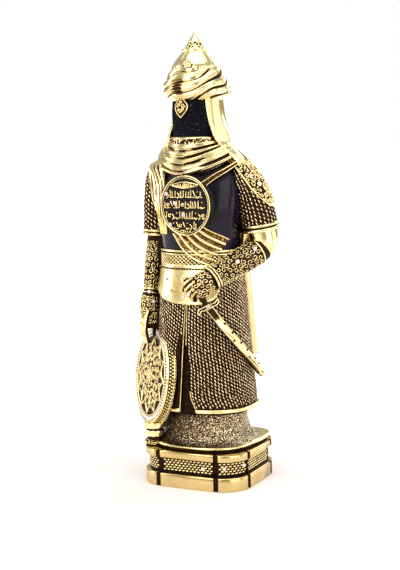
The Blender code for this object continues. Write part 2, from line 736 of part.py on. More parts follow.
# Where each lies: across and up on the disc
DISC_STONES = ((-13.4, 7.6), (-7.0, 1.4), (-1.2, -5.9), (-11.0, -12.4))
# name, x, y, z, azimuth and lean of the surface there
STONES = (
    ("apron_1", -17.4, -23.7, 138.6, -26, 9),
    ("apron_2", -12.6, -26.7, 131.5, -17, 8),
    ("apron_3", -2.8, -28.8, 127.5, -3, 8),
    ("left_hand_1", 14.9, -35.9, 133.6, 38, -12),
    ("left_hand_2", 6.8, -39.4, 131.8, 15, -17),
    ("guard", 17.2, -32.3, 122.8, 27, 4),
    ("vambrace_1", 32.5, -19.0, 151.3, 36, 26),
    ("vambrace_2", 40.4, -8.4, 158.7, 45, 24),
    ("pauldron_1", 42.6, -4.3, 200.5, 68, 20),
    ("pauldron_2", 37.9, -7.4, 205.9, 48, 24),
    ("right_hand_1", -35.6, -14.0, 128.1, 12, 12),
    ("right_hand_2", -32.8, -14.0, 121.6, 52, 12),
)
# name, share along the front side from its middle or along the corner, and share up the frieze
FRIEZE_FRONT_STONE = ("frieze_1", 0.56, 0.49)
FRIEZE_CORNER_STONES = (("frieze_2", 0.25, 0.54), ("frieze_3", 0.88, 0.64))


def stone_places():
    """(name, point in metres, outward direction) of each glass stone."""
    places = []
    for k, (across, up) in enumerate(DISC_STONES):
        point = place(*on_disc(across, up, DISC_RECESS))
        places.append((f"stone_disc_{k + 1}", point, turn_to(DISC_AZIMUTH)))
    for name, x, y, z, azimuth, lean in STONES:
        places.append((f"stone_{name}", place(x, y, z), turn_to(azimuth, lean)))
    name, share, rise = FRIEZE_FRONT_STONE
    half_length = PLINTH_WIDTH / 2 - PLINTH_CORNER_CUT
    point = shrunk(Vector((share * half_length, -PLINTH_DEPTH / 2, 0)), FRIEZE_INSET)
    places.append((f"stone_{name}", frieze_point(point, rise), turn_to(0.0)))
    for name, share, rise in FRIEZE_CORNER_STONES:
        point = corner_point(share)
        run = corner_point(share + 0.01) - corner_point(share - 0.01)
        azimuth = math.degrees(math.atan2(run.y, run.x))
        places.append((f"stone_{name}", frieze_point(point, rise), turn_to(azimuth)))
    return places


def corner_point(share):
    """Plan point of the frieze's front left corner, this share of the way round it."""
    half_x, half_y = PLINTH_WIDTH / 2, PLINTH_DEPTH / 2
    start = Vector((half_x - PLINTH_CORNER_CUT, -half_y, 0))
    end = Vector((half_x, PLINTH_CORNER_CUT - half_y, 0))
    bulge = PLINTH_CORNER_BULGE * (1 - (2 * share - 1) ** 2)
    return shrunk(start + (end - start) * share + Vector((1, -1, 0)).normalized() * bulge, FRIEZE_INSET)


def frieze_point(point, rise):
    return point + Vector((0, 0, LOWER_SLAB_HEIGHT + FRIEZE_HEIGHT * rise))


def build_stones(group, finish):
    for name, point, turn in stone_places():
        bm = bmesh.new()
        bmesh.ops.create_cone(
            bm, cap_ends=True, segments=6, depth=STONE_HEIGHT,
            radius1=STONE_DIAMETER / 2, radius2=STONE_DIAMETER * 0.28,
        )
        seat = point + turn.to_3x3() @ Vector((0, 0, STONE_GAP + STONE_HEIGHT / 2))
        add_object(name, moved(mesh_of(name, bm), seat, turn), group, finish)


def build():
    fresh_scene()
    object_parts = collection("armoured soldier figurine")
    forms = collection("forms of the casting", hidden=True)
    gold = material("gilt", (0.83, 0.62, 0.22), 0.25, metallic=1.0)
    glass = material("glass stone", (0.95, 0.93, 0.97), 0.05, transmission=0.6)
    casting = Casting(forms, gold)
    for add in (
        add_foot, add_body, add_belt_and_apron, add_head, add_pendant, add_cowl, add_disc, add_strokes,
        add_sashes, add_right_arm, add_left_arm, add_pauldron, add_sword, add_shield, add_post, add_cape,
    ):
        add(casting)
    base = forms.objects["body"]
    figure = add_object("figure", base.data.copy(), object_parts, gold)
    forms.objects.unlink(base)
    join = figure.modifiers.new("cast in one", "BOOLEAN")
    join.operation = "UNION"
    join.operand_type = "COLLECTION"
    join.collection = forms
    join.solver = "EXACT"
    build_plinth(object_parts, gold)
    build_stones(object_parts, glass)


build()
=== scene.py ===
"""Looks of the armoured soldier figurine: gilt casting with patina, enamelled cuirass and veil, glass stones.

The figure is drawn in millimetres. It faces -Y, and an azimuth is a compass angle round it in degrees: 0 is
its front, 90 its left side, 180 its back. A surface is a function of shares u and v and of a lift from it.
"""

import json
import math

import bpy
import numpy as np
from mathutils import Matrix, Vector, noise

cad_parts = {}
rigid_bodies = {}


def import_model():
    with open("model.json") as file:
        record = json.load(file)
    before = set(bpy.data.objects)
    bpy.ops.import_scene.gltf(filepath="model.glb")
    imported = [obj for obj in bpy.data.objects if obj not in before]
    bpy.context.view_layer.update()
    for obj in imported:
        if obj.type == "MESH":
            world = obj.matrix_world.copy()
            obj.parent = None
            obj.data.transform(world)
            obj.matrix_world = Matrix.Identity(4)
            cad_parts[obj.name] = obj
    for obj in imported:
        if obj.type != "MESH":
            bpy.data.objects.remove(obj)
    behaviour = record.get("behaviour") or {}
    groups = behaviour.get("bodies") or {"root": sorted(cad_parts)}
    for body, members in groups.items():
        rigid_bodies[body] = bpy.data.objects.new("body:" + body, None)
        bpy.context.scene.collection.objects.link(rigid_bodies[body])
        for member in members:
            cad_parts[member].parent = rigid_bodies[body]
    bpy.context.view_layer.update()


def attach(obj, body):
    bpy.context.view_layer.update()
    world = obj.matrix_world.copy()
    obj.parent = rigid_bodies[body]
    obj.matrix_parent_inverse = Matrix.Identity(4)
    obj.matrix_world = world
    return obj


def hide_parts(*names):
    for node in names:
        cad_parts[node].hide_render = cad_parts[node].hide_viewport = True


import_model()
MM = 0.001

# Body outline: height, half width, half depth, centre's y
BODY = (
    (51.0, 34.7, 30.0, -2.5),
    (70.0, 33.2, 28.6, -2.6),
    (100.0, 31.0, 26.2, -3.0),
    (130.0, 28.6, 23.2, -3.2),
    (150.0, 26.6, 20.8, -3.0),
    (165.0, 27.4, 22.0, -3.4),
    (185.0, 29.6, 24.2, -4.0),
    (200.0, 30.0, 22.5, -3.4),
    (210.0, 27.0, 18.5, -2.6),
    (220.0, 17.0, 15.0, -4.5),
)
HEM_Z = 51.5
HEAD_Y = -6.5
HEAD_TURN = -6.0

# Where the apron's hem hangs: azimuth, height
APRON_HEM = ((-64.0, 132.0), (-34.0, 125.2), (0.0, 123.0), (22.0, 123.8), (36.0, 127.6), (50.0, 142.0))
APRON_TOP = 149.0

DISC_HALF_WIDTH = 17.9
DISC_HALF_HEIGHT = 19.6
DISC_CENTRE = (1.2, -30.4, 188.0)
DISC_SHARE = DISC_HALF_WIDTH / DISC_HALF_HEIGHT

SHIELD_RADIUS = 32.6
SHIELD_HALF_THICKNESS = 2.4
SHIELD_CENTRE = (-33.1, -14.0, 70.6)
SHIELD_AZIMUTH = -43.0
SHIELD_LEAN = 7.9
POST_CENTRE = (-31.0, -20.0)

# Limbs: x, y, z and radius at stations along each
RIGHT_SLEEVE = (
    (-27.0, -2.0, 211.5, 6.0), (-31.5, -2.0, 205.0, 8.4), (-34.0, -1.2, 194.0, 8.6), (-35.6, 0.0, 180.0, 8.5),
    (-36.4, 0.6, 166.5, 8.4),
)
RIGHT_FOREARM = (
    (-36.8, 0.8, 168.0, 6.0), (-37.2, 0.2, 158.0, 6.2), (-37.6, -2.6, 147.0, 5.9), (-37.4, -6.8, 133.0, 5.4),
    (-37.3, -9.6, 124.0, 4.8),
)
RIGHT_HAND = (
    (-37.4, -9.8, 126.5, 5.2), (-37.4, -11.4, 119.0, 5.8), (-36.8, -13.0, 111.0, 5.4),
    (-36.0, -13.6, 103.0, 4.0),
)
LEFT_SLEEVE = (
    (25.0, -2.0, 212.0, 6.0), (30.5, -1.4, 206.5, 8.8), (34.5, 0.8, 196.0, 9.9), (37.4, 3.0, 183.0, 11.2),
    (38.8, 4.6, 170.5, 12.0),
)
LEFT_ELBOW = (
    (39.0, 4.8, 172.0, 9.6), (40.6, 5.6, 166.0, 9.8), (41.0, 5.0, 160.0, 9.2), (39.2, 2.0, 155.6, 7.2),
)
LEFT_FOREARM = (
    (40.2, 4.0, 158.0, 8.3), (34.6, -4.5, 153.2, 8.6), (27.6, -13.0, 148.4, 8.4), (21.0, -21.0, 143.6, 8.1),
    (16.5, -26.6, 140.0, 7.8),
)
LEFT_HAND = (
    (16.8, -26.4, 139.4, 7.4), (13.2, -30.0, 137.2, 7.8), (9.2, -33.0, 134.6, 7.0), (6.2, -34.4, 132.8, 5.0),
)

BLADE = (
    (16.2, -30.4, 122.4), (24.6, -26.0, 109.5), (31.6, -17.2, 96.0), (36.4, -5.0, 83.0), (38.4, 6.4, 71.6),
)
POMMEL = (3.4, -37.3, 141.0)

PLINTH_HALF_WIDTH = 38.25
PLINTH_HALF_DEPTH = 35.5
PLINTH_CORNER_CUT = 17.0
PLINTH_CORNER_BULGE = 3.8
LOWER_SLAB = (0.0, 9.3)
UPPER_SLAB = (19.9, 24.6)
FRIEZE_INSET = 2.6
FOOT_SWELL = 5.2

PATINA = (0.030, 0.013, 0.007)
BRONZE = (0.20, 0.095, 0.028)
GOLD = (0.84, 0.65, 0.28)
PALE_GOLD = (1.0, 0.90, 0.50)

# A small form's foot is patina and its top is bare, at these shares of its height above its middle
FORM_DARK_AT = -0.15
FORM_BARE_AT = 1.0

CAMERA_AZIMUTH = 26.0
CAMERA_DISTANCE = 0.850
CAMERA_HEIGHT = 0.245
CAMERA_TARGET = (0.0, 0.0, 0.1322)
CAMERA_ROLL = -1.3
CAMERA_LENS = 80.26
CAMERA_SHIFT = -5.64 / 570

# What the casting reflects, from straight down to straight up
SURROUND = (
    (0.0, (0.60, 0.46, 0.27)), (0.2, (0.74, 0.65, 0.50)), (0.45, (0.92, 0.9, 0.86)), (1.0, (1.0, 1.0, 1.0)),
)
SURROUND_STRENGTH = 0.65

# Softboxes: place, height they aim at, width and height, power
LIGHTS = (
    ("front softbox", (-0.15, -1.1, 0.7), 0.15, (0.8, 1.0), 10.0),
    ("left softbox", (1.05, -0.45, 0.4), 0.14, (0.8, 1.3), 7.0),
    ("right softbox", (-1.0, -0.3, 0.35), 0.14, (0.5, 1.0), 5.0),
    ("overhead", (0.1, -0.1, 1.2), 0.1, (0.9, 0.9), 6.0),
    ("side softbox", (1.0, 0.5, 0.4), 0.16, (0.8, 1.2), 3.4),
    ("back", (0.2, 1.1, 0.7), 0.14, (0.8, 0.6), 5.0),
)


# Curves and surfaces, worked out on arrays


def stack(*parts):
    return np.stack(np.broadcast_arrays(*parts), axis=-1)


def unit(vectors):
    return vectors / np.maximum(np.linalg.norm(vectors, axis=-1, keepdims=True), 1e-9)


def square_to(vectors, along):
    """Unit vectors turned the least way to stand square to a direction."""
    return unit(vectors - along * np.sum(vectors * along, axis=-1, keepdims=True))


def outward(points, rise=0.0):
    """Unit vectors from the body's axis out to points, tipped up by a rise."""
    return unit(stack(points[..., 0], points[..., 1] + 3.0, 0 * points[..., 0] + rise))


def smooth(low, high, value):
    t = np.clip((value - low) / (high - low), 0.0, 1.0)
    return t * t * (3 - 2 * t)


def evenly(rows):
    """Rows for spline, spread evenly from 0 to 1."""
    return [(i / (len(rows) - 1), *row) for i, row in enumerate(rows)]


def spline(rows, position):
    """Smooth curve through rows of (position, value, ...): its values at an array of positions."""
    rows = np.array(rows, float)
    x = rows[:, 0]
    position = np.clip(np.asarray(position, float), x[0], x[-1])
    k = np.clip(np.searchsorted(x, position, side="right") - 1, 0, len(x) - 2)
    before, after = np.maximum(k - 1, 0), np.minimum(k + 2, len(x) - 1)
    span = x[k + 1] - x[k]
    t = (position - x[k]) / span
    found = []
    for column in rows[:, 1:].T:
        leave = span * (column[k + 1] - column[before]) / (x[k + 1] - x[before])
        arrive = span * (column[after] - column[k]) / (x[after] - x[k])
        found.append(
            (2 * t**3 - 3 * t**2 + 1) * column[k] + (t**3 - 2 * t**2 + t) * leave
            + (3 * t**2 - 2 * t**3) * column[k + 1] + (t**3 - t**2) * arrive
        )
    return found


def path_at(points, t):
    """Points at shares t along a smooth path."""
    return stack(*spline(evenly(points), t))


def oval(azimuth, half_width, half_depth, squareness=2.0):
    a = np.radians(azimuth)
    s, c = np.sin(a), np.cos(a)
    reach = (np.abs(s) ** squareness + np.abs(c) ** squareness) ** (-1 / squareness)
    return half_width * reach * s, -half_depth * reach * c


def body(azimuth, z, lift=0.0):
    half_width, half_depth, centre_y = spline(BODY, z)
    x, y = oval(azimuth, half_width + lift, half_depth + lift, 2.25)
    return stack(x, centre_y + y, z)


def azimuth_at(x, z):
    """Azimuth at which the body's front is x to the figure's left."""
    return np.degrees(np.arcsin(x / spline(BODY, z)[0]))


def limb(stations):
    """Surface round a limb: u round it, a quarter turn being its outer side, and v along it."""
    centre = evenly(stations)

    def surface(u, v, lift=0.0):
        u, v = np.broadcast_arrays(np.asarray(u, float), np.asarray(v, float))
        x, y, z, radius = spline(centre, v)
        ahead, behind = spline(centre, np.minimum(v + 0.02, 1.0)), spline(centre, np.maximum(v - 0.02, 0.0))
        along = unit(stack(*(a - b for a, b in zip(ahead[:3], behind[:3]))))
        out = square_to(outward(stack(x, y, z)), along)
        side = np.cross(along, out)
        angle = (2 * np.pi * u)[..., None]
        return stack(x, y, z) + (radius + lift)[..., None] * (side * np.cos(angle) + out * np.sin(angle))

    return surface


def turned_surface(profile, centre_x, centre_y):
    """Surface of revolution through (z, radius) stations."""
    rows = evenly(profile)

    def surface(u, v, lift=0.0):
        z, radius = spline(rows, v)
        x, y = oval(360.0 * u, radius + lift, radius + lift)
        return stack(centre_x + x, centre_y + y, z)

    return surface


def part_of(surface, start, span):
    """The part of a surface from a share of its length over a span of it."""
    return lambda u, v, lift=0.0: surface(u, start + span * v, lift)


def normals(surface, u, v):
    """Outward direction and direction of u on a surface."""
    e = 1e-3
    across = surface(u + e, v) - surface(u - e, v)
    up = surface(u, np.minimum(v + e, 1.0)) - surface(u, np.maximum(v - e, 0.0))
    normal = unit(np.cross(across, up))
    outward = surface(u, v, 0.5) - surface(u, v)
    sign = np.sign(np.sum(normal * outward, axis=-1, keepdims=True))
    return normal * np.where(sign == 0, 1.0, sign), unit(across)


def ripple(points, size, seed=0.0):
    """Smooth noise of about -1 to 1 at points in millimetres, with features of this size."""
    shift = Vector((seed, 2.3 * seed, 5.1 * seed))
    flat = points.reshape(-1, 3) / size
    found = [noise.noise(Vector(point) + shift) for point in flat.tolist()]
    return np.array(found).reshape(points.shape[:-1])


# Making pieces


class Piece:
    """Closed shapes in millimetres that make one piece. gilt is 1 on bare gold and 0 on patina; on the apron,
    the foot's column and the scabbard it also carries painted shade.
    """

    def __init__(self, name, finish, stands_for=("figure",), slot="gilt_casting"):
        self.name, self.finish, self.stands_for, self.slot = name, finish, stands_for, slot
        self.points, self.faces, self.gilt = [], [], []

    def add(self, points, faces, gilt=1.0):
        points = np.asarray(points, float).reshape(-1, 3)
        corners = np.array(
            [[points[f[0]], points[f[i]], points[f[i + 1]]] for f in faces for i in range(1, len(f) - 1)]
        )
        volume = np.sum(corners[:, 0] * np.cross(corners[:, 1], corners[:, 2]))
        start = len(self.points)
        self.points += points.tolist()
        turned = [f[::-1] for f in faces] if volume < 0 else faces
        self.faces += [tuple(start + i for i in f) for f in turned]
        self.gilt += np.broadcast_to(gilt, (len(points),)).tolist()
        return self

    def loft(self, grid, ring=False, gilt=1.0):
        """Rings of points: rows along, columns round. A ring joins its last row to its first."""
        rows, columns = grid.shape[:2]
        gilt = np.broadcast_to(gilt, (rows, columns)).reshape(-1)
        points = grid.reshape(-1, 3)
        faces = []
        for i in range(rows if ring else rows - 1):
            for j in range(columns):
                a, b = i * columns + j, i * columns + (j + 1) % columns
                c, d = ((i + 1) % rows) * columns + (j + 1) % columns, ((i + 1) % rows) * columns + j
                faces.append((a, b, c, d))
        if not ring:
            points = np.concatenate([points, [grid[0].mean(axis=0), grid[-1].mean(axis=0)]])
            gilt = np.concatenate([gilt, [gilt[0], gilt[-1]]])
            low, high, last = rows * columns, rows * columns + 1, (rows - 1) * columns
            faces += [((j + 1) % columns, j, low) for j in range(columns)]
            faces += [(last + j, last + (j + 1) % columns, high) for j in range(columns)]
        return self.add(points, faces, gilt)

    def slab(self, front, back, gilt=1.0):
        """Two open grids of the same size, walled together round their edges."""
        rows, columns = front.shape[:2]
        gilt = np.broadcast_to(gilt, (rows, columns)).reshape(-1)
        size = rows * columns
        faces = []
        for i in range(rows - 1):
            for j in range(columns - 1):
                a, d = i * columns + j, (i + 1) * columns + j
                b, c = a + 1, d + 1
                faces += [(a, b, c, d), (size + d, size + c, size + b, size + a)]
        rim = list(range(columns)) + [i * columns + columns - 1 for i in range(1, rows)]
        rim += [(rows - 1) * columns + j for j in range(columns - 2, -1, -1)]
        rim += [i * columns for i in range(rows - 2, 0, -1)]
        for a, b in zip(rim, rim[1:] + rim[:1]):
            faces.append((b, a, size + a, size + b))
        points = np.concatenate([front.reshape(-1, 3), back.reshape(-1, 3)])
        return self.add(points, faces, np.concatenate([gilt, gilt * 0.4]))

    def wall(self, surface, columns, rows, thickness, relief=None, gilt=1.0, edge=0.0):
        """Slab whose face is a surface with relief(u, v) on it. An edge rounds its border by this much."""
        u, v = np.meshgrid(np.linspace(0, 1, columns), np.linspace(0, 1, rows))
        lift = relief(u, v) if relief else np.zeros_like(u)
        if edge:
            border = np.minimum(np.minimum(u, 1 - u) * columns, np.minimum(v, 1 - v) * rows)
            lift = lift - edge * (1 - smooth(0.0, 2.0, border))
        normal, _ = normals(surface, u, v)
        base = surface(u, v)
        shade = gilt(u, v) if callable(gilt) else gilt
        return self.slab(base + normal * lift[..., None], base - normal * thickness, shade)

    def round_wall(self, surface, columns, rows, relief=None, gilt=1.0):
        """Loft of a surface that closes on itself in u, with relief(u, v) on it."""
        u, v = np.meshgrid(np.linspace(0, 1, columns, endpoint=False), np.linspace(0, 1, rows))
        base = surface(u, v)
        if relief:
            normal, _ = normals(surface, u, v)
            base = base + normal * relief(u, v)[..., None]
        return self.loft(base, gilt=gilt(u, v) if callable(gilt) else gilt)

    def tube(self, path, radius, sides=8, closed=False, gilt=1.0, flat=None, out=None):
        """Round bar along a path; flat scales it along out, the way it faces at each point."""
        path = np.asarray(path, float)
        ahead = np.roll(path, -1, axis=0) if closed else np.concatenate([path[1:], path[-1:]])
        behind = np.roll(path, 1, axis=0) if closed else np.concatenate([path[:1], path[:-1]])
        along = unit(ahead - behind)
        away = square_to(outward(path, 0.01) if out is None else np.broadcast_to(out, path.shape), along)
        side = np.cross(along, away)
        angle = 2 * np.pi * np.arange(sides) / sides
        wide = np.broadcast_to(radius, (len(path),))[:, None, None]
        high = wide * (1.0 if flat is None else flat)
        across = wide * side[:, None] * np.cos(angle)[None, :, None]
        up = high * away[:, None] * np.sin(angle)[None, :, None]
        return self.loft(path[:, None] + across + up, ring=closed, gilt=gilt)

    def done(self):
        mesh = bpy.data.meshes.new(self.name)
        mesh.from_pydata((np.array(self.points) * MM).tolist(), [], self.faces)
        mesh.attributes.new("gilt", "FLOAT", "POINT").data.foreach_set("value", self.gilt)
        mesh.shade_smooth()
        obj = bpy.data.objects.new(self.name, mesh)
        bpy.context.collection.objects.link(obj)
        return settle(obj, self.finish, self.stands_for, self.slot)


def settle(obj, finish, stands_for=("figure",), slot="gilt_casting"):
    if not obj.data.materials:
        obj.data.materials.append(finish)
    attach(obj, "root")
    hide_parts(*stands_for)
    return obj


# Geometry Nodes for what repeats


class Tree:
    """A geometry node tree with named inputs."""

    def __init__(self, name, sizes):
        self.group = bpy.data.node_groups.new(name, "GeometryNodeTree")
        self.group.interface.new_socket("Geometry", in_out="INPUT", socket_type="NodeSocketGeometry")
        self.group.interface.new_socket("Geometry", in_out="OUTPUT", socket_type="NodeSocketGeometry")
        for size in sizes:
            self.group.interface.new_socket(size, in_out="INPUT", socket_type="NodeSocketFloat")
        self.group.interface.new_socket("Finish", in_out="INPUT", socket_type="NodeSocketMaterial")
        self.start = self.group.nodes.new("NodeGroupInput")
        self.end = self.group.nodes.new("NodeGroupOutput")

    def node(self, kind, settings=None, inputs=None):
        made = self.group.nodes.new(kind)
        for key, value in (settings or {}).items():
            setattr(made, key, value)
        for key, value in (inputs or {}).items():
            if isinstance(value, bpy.types.NodeSocket):
                self.group.links.new(value, made.inputs[key])
            else:
                made.inputs[key].default_value = value
        return made

    def close(self, geometry):
        """Ends the tree: realized, smooth and with its finish."""
        real = self.node("GeometryNodeRealizeInstances", inputs={0: geometry})
        even = self.node("GeometryNodeSetShadeSmooth", inputs={"Geometry": real.outputs[0]})
        dressed = self.node(
            "GeometryNodeSetMaterial",
            inputs={"Geometry": even.outputs[0], "Material": self.start.outputs["Finish"]},
        )
        self.group.links.new(dressed.outputs[0], self.end.inputs[0])
        return self.group


def setting_tree(name, form, inputs):
    """Sets one small form, dark at its foot, on every point, turned and sized by the points' attributes."""
    tree = Tree(name, ("Length", "Width", "Height"))
    shape = tree.node(form, inputs=inputs)
    height = tree.node("ShaderNodeSeparateXYZ", inputs={0: tree.node("GeometryNodeInputPosition").outputs[0]})
    bare = tree.node("ShaderNodeMapRange", inputs={
        "Value": height.outputs["Z"], "From Min": FORM_DARK_AT, "From Max": FORM_BARE_AT,
    })
    gilded = tree.node("GeometryNodeStoreNamedAttribute", {"data_type": "FLOAT", "domain": "POINT"}, {
        "Geometry": shape.outputs[0], "Name": "gilt", "Value": bare.outputs[0],
    })
    sizes = tree.start.outputs
    size = tree.node(
        "ShaderNodeCombineXYZ", inputs={"X": sizes["Length"], "Y": sizes["Width"], "Z": sizes["Height"]},
    )
    sized = tree.node(
        "GeometryNodeTransform", inputs={"Geometry": gilded.outputs[0], "Scale": size.outputs[0]},
    )
    turn = tree.node("GeometryNodeInputNamedAttribute", {"data_type": "FLOAT_VECTOR"}, {"Name": "turn"})
    rotation = tree.node("FunctionNodeEulerToRotation", inputs={0: turn.outputs[0]})
    scale = tree.node("GeometryNodeInputNamedAttribute", {"data_type": "FLOAT_VECTOR"}, {"Name": "size"})
    set_on = tree.node("GeometryNodeInstanceOnPoints", inputs={
        "Points": tree.start.outputs["Geometry"], "Instance": sized.outputs[0],
        "Rotation": rotation.outputs[0], "Scale": scale.outputs[0],
    })
    return tree.close(set_on.outputs[0])


def wire_tree():
    """Draws a round wire along every edge."""
    tree = Tree("wire", ("Radius",))
    curve = tree.node("GeometryNodeMeshToCurve", inputs={0: tree.start.outputs["Geometry"]})
    circle = tree.node(
        "GeometryNodeCurvePrimitiveCircle", inputs={"Resolution": 5, "Radius": tree.start.outputs["Radius"]},
    )
    drawn = tree.node(
        "GeometryNodeCurveToMesh",
        inputs={"Curve": curve.outputs[0], "Profile Curve": circle.outputs[0], "Fill Caps": True},
    )
    return tree.close(drawn.outputs[0])


GRAIN = setting_tree("grain", "GeometryNodeMeshIcoSphere", {"Radius": 1.0, "Subdivisions": 1})
BEAD = setting_tree("bead", "GeometryNodeMeshIcoSphere", {"Radius": 1.0, "Subdivisions": 2})
WIRE = wire_tree()


def grown(name, mesh, tree, sizes, finish, **place):
    """Runs a tree on a mesh of points or edges and keeps the result as a plain piece."""
    seed = bpy.data.objects.new(name + "_seed", mesh)
    bpy.context.collection.objects.link(seed)
    grow = seed.modifiers.new("grow", "NODES")
    grow.node_group = tree
    values = {**{k: v * MM for k, v in sizes.items()}, "Finish": finish}
    for item in tree.interface.items_tree:
        if item.in_out == "INPUT" and item.name in values:
            grow[item.identifier] = values[item.name]
    evaluated = seed.evaluated_get(bpy.context.evaluated_depsgraph_get())
    made = bpy.data.meshes.new_from_object(evaluated)
    made.name = name
    bpy.data.objects.remove(seed)
    obj = bpy.data.objects.new(name, made)
    bpy.context.collection.objects.link(obj)
    return settle(obj, finish, **place)


def set_forms(name, tree, sizes, finish, points, normal, along, scale=None, **place):
    """Small forms at points in millimetres, standing on normal, with their length along a direction."""
    points, normal, along = (np.asarray(a, float).reshape(-1, 3) for a in (points, normal, along))
    along = square_to(along, normal)
    turns = []
    for z, x in zip(normal, along):
        y = np.cross(z, x)
        turns.append(Matrix((x, y, z)).transposed().to_euler())
    mesh = bpy.data.meshes.new(name + "_points")
    mesh.from_pydata((points * MM).tolist(), [], [])
    mesh.attributes.new("turn", "FLOAT_VECTOR", "POINT").data.foreach_set(
        "vector", np.array(turns).reshape(-1),
    )
    scale = np.broadcast_to(
        1.0 if scale is None else np.asarray(scale, float).reshape(-1, 1), (len(points), 3),
    )
    mesh.attributes.new("size", "FLOAT_VECTOR", "POINT").data.foreach_set("vector", scale.reshape(-1))
    return grown(name, mesh, tree, sizes, finish, **place)


def draw_wires(name, lines, radius, finish):
    """Round wires along lines of points in millimetres."""
    points, edges = [], []
    for line in lines:
        start = len(points)
        points += (np.asarray(line) * MM).tolist()
        edges += [(i, i + 1) for i in range(start, len(points) - 1)]
    mesh = bpy.data.meshes.new(name + "_lines")
    mesh.from_pydata(points, edges, [])
    return grown(name, mesh, WIRE, {"Radius": radius}, finish)


# Finishes


def set_stops(ramp, stops):
    while len(ramp.elements) < len(stops):
        ramp.elements.new(1.0)
    for element, (position, color) in zip(ramp.elements, stops):
        element.position = position
        element.color = (*color, 1.0)


class Value:
    """A number socket in a material's tree, with arithmetic that adds Math nodes."""

    def __init__(self, finish, socket):
        self.finish, self.socket = finish, socket

    def math(self, operation, first, second):
        made = self.finish.node("ShaderNodeMath", {"operation": operation}, {0: first, 1: second})
        return Value(self.finish, made.outputs[0])

    def __add__(self, other):
        return self.math("ADD", self, other)

    def __radd__(self, other):
        return self.math("ADD", other, self)

    def __sub__(self, other):
        return self.math("SUBTRACT", self, other)

    def __rsub__(self, other):
        return self.math("SUBTRACT", other, self)

    def __mul__(self, other):
        return self.math("MULTIPLY", self, other)

    def __rmul__(self, other):
        return self.math("MULTIPLY", other, self)


class Finish:
    """A material being built round one Principled shader."""

    def __init__(self, name, roughness, metallic=0.0):
        self.material = bpy.data.materials.new(name)
        self.material.use_nodes = True
        self.tree = self.material.node_tree
        self.shader = self.tree.nodes["Principled BSDF"]
        self.shader.inputs["Roughness"].default_value = roughness
        self.shader.inputs["Metallic"].default_value = metallic

    def node(self, kind, settings=None, inputs=None):
        made = self.tree.nodes.new(kind)
        for key, value in (settings or {}).items():
            if key == "stops":
                set_stops(made.color_ramp, value)
            else:
                setattr(made, key, value)
        for key, value in (inputs or {}).items():
            self.feed(made.inputs[key], value)
        return made

    def feed(self, socket, value):
        if isinstance(value, Value):
            self.tree.links.new(value.socket, socket)
        elif isinstance(value, bpy.types.NodeSocket):
            self.tree.links.new(value, socket)
        else:
            socket.default_value = value

    def noise(self, scale, detail=3.0, roughness=0.55):
        place = self.node("ShaderNodeTexCoord")
        made = self.node("ShaderNodeTexNoise", None, {
            "Vector": place.outputs["Object"], "Scale": scale, "Detail": detail, "Roughness": roughness,
        })
        return Value(self, made.outputs[0])

    def gilt(self):
        """The piece's own gilt attribute."""
        return Value(self, self.node("ShaderNodeAttribute", {"attribute_name": "gilt"}).outputs["Fac"])

    def clamp(self, value):
        return Value(self, self.node("ShaderNodeClamp", None, {"Value": value}).outputs[0])

    def ramp(self, value, stops):
        return self.node("ShaderNodeValToRGB", {"stops": stops}, {"Fac": value}).outputs["Color"]

    def color(self, value, stops):
        self.show("Base Color", self.ramp(value, stops))

    def bump(self, height, strength, distance):
        made = self.node(
            "ShaderNodeBump", None, {"Height": height, "Strength": strength, "Distance": distance},
        )
        self.feed(self.shader.inputs["Normal"], made.outputs["Normal"])

    def show(self, socket, value):
        self.feed(self.shader.inputs[socket], value)


def gilt_finish(name, roughness=0.16, edge=0.5, gilt_tone=0.18, deep=GOLD, pale=PALE_GOLD):
    """Gold plating that gives way to patina where the piece's own gilt attribute falls; on some pieces that
    attribute also holds painted shade.
    """
    made = Finish(name, roughness, 1.0)
    grime = made.noise(900.0, 4.0)
    cloud = made.noise(120.0, 3.0)
    bare = made.clamp((made.gilt() + gilt_tone * (grime - 0.5) * 2.0 - edge) * 3.2 + 0.5)
    made.color(bare * 0.86 + cloud * 0.28 - 0.14, (
        (0.0, PATINA), (0.22, (0.06, 0.028, 0.012)), (0.48, BRONZE), (0.72, deep), (1.0, pale),
    ))
    made.show("Roughness", made.clamp(0.6 - bare * (0.6 - roughness) + (grime - 0.5) * 0.12))
    made.bump(grime, 0.08, 0.0002)
    return made.material


def plain_gilt(name, roughness, darkest):
    """Gold plating with no attribute, a little grimy."""
    made = Finish(name, roughness, 1.0)
    grime = made.noise(700.0, 4.0)
    made.color(grime, ((0.28, darkest), (0.45, GOLD), (0.7, PALE_GOLD)))
    made.show("Roughness", made.clamp(roughness + (grime - 0.5) * 0.2))
    made.bump(grime, 0.06, 0.0002)
    return made.material


def patina_finish():
    """Brown-black patina, dull and a little uneven."""
    made = Finish("patina", 0.55, 1.0)
    made.color(made.noise(400.0), ((0.3, (0.008, 0.004, 0.003)), (0.7, (0.028, 0.014, 0.008))))
    return made.material


def stipple_finish():
    """Gold over dark, in fine stipple."""
    made = Finish("stippled gilt", 0.3, 1.0)
    dots = made.noise(1350.0, 1.0, 0.5)
    # The gilt attribute adds the column's painted shade to the stipple.
    gilt_tone = dots + (made.gilt() - 0.5) * 0.3
    made.color(gilt_tone, (
        (0.40, (0.03, 0.016, 0.010)), (0.50, (0.16, 0.11, 0.055)), (0.59, (0.70, 0.57, 0.33)),
        (0.70, (1.0, 0.92, 0.64)),
    ))
    made.show("Roughness", made.clamp(0.75 - dots * 0.8))
    made.bump(dots, 0.8, 0.0008)
    return made.material


def bead_finish():
    """Pale cast beads with dark joints."""
    made = Finish("pale beads", 0.3, 1.0)
    made.color(made.gilt(), ((0.1, PATINA), (0.45, (0.35, 0.28, 0.20)), (0.8, (0.96, 0.90, 0.82))))
    return made.material


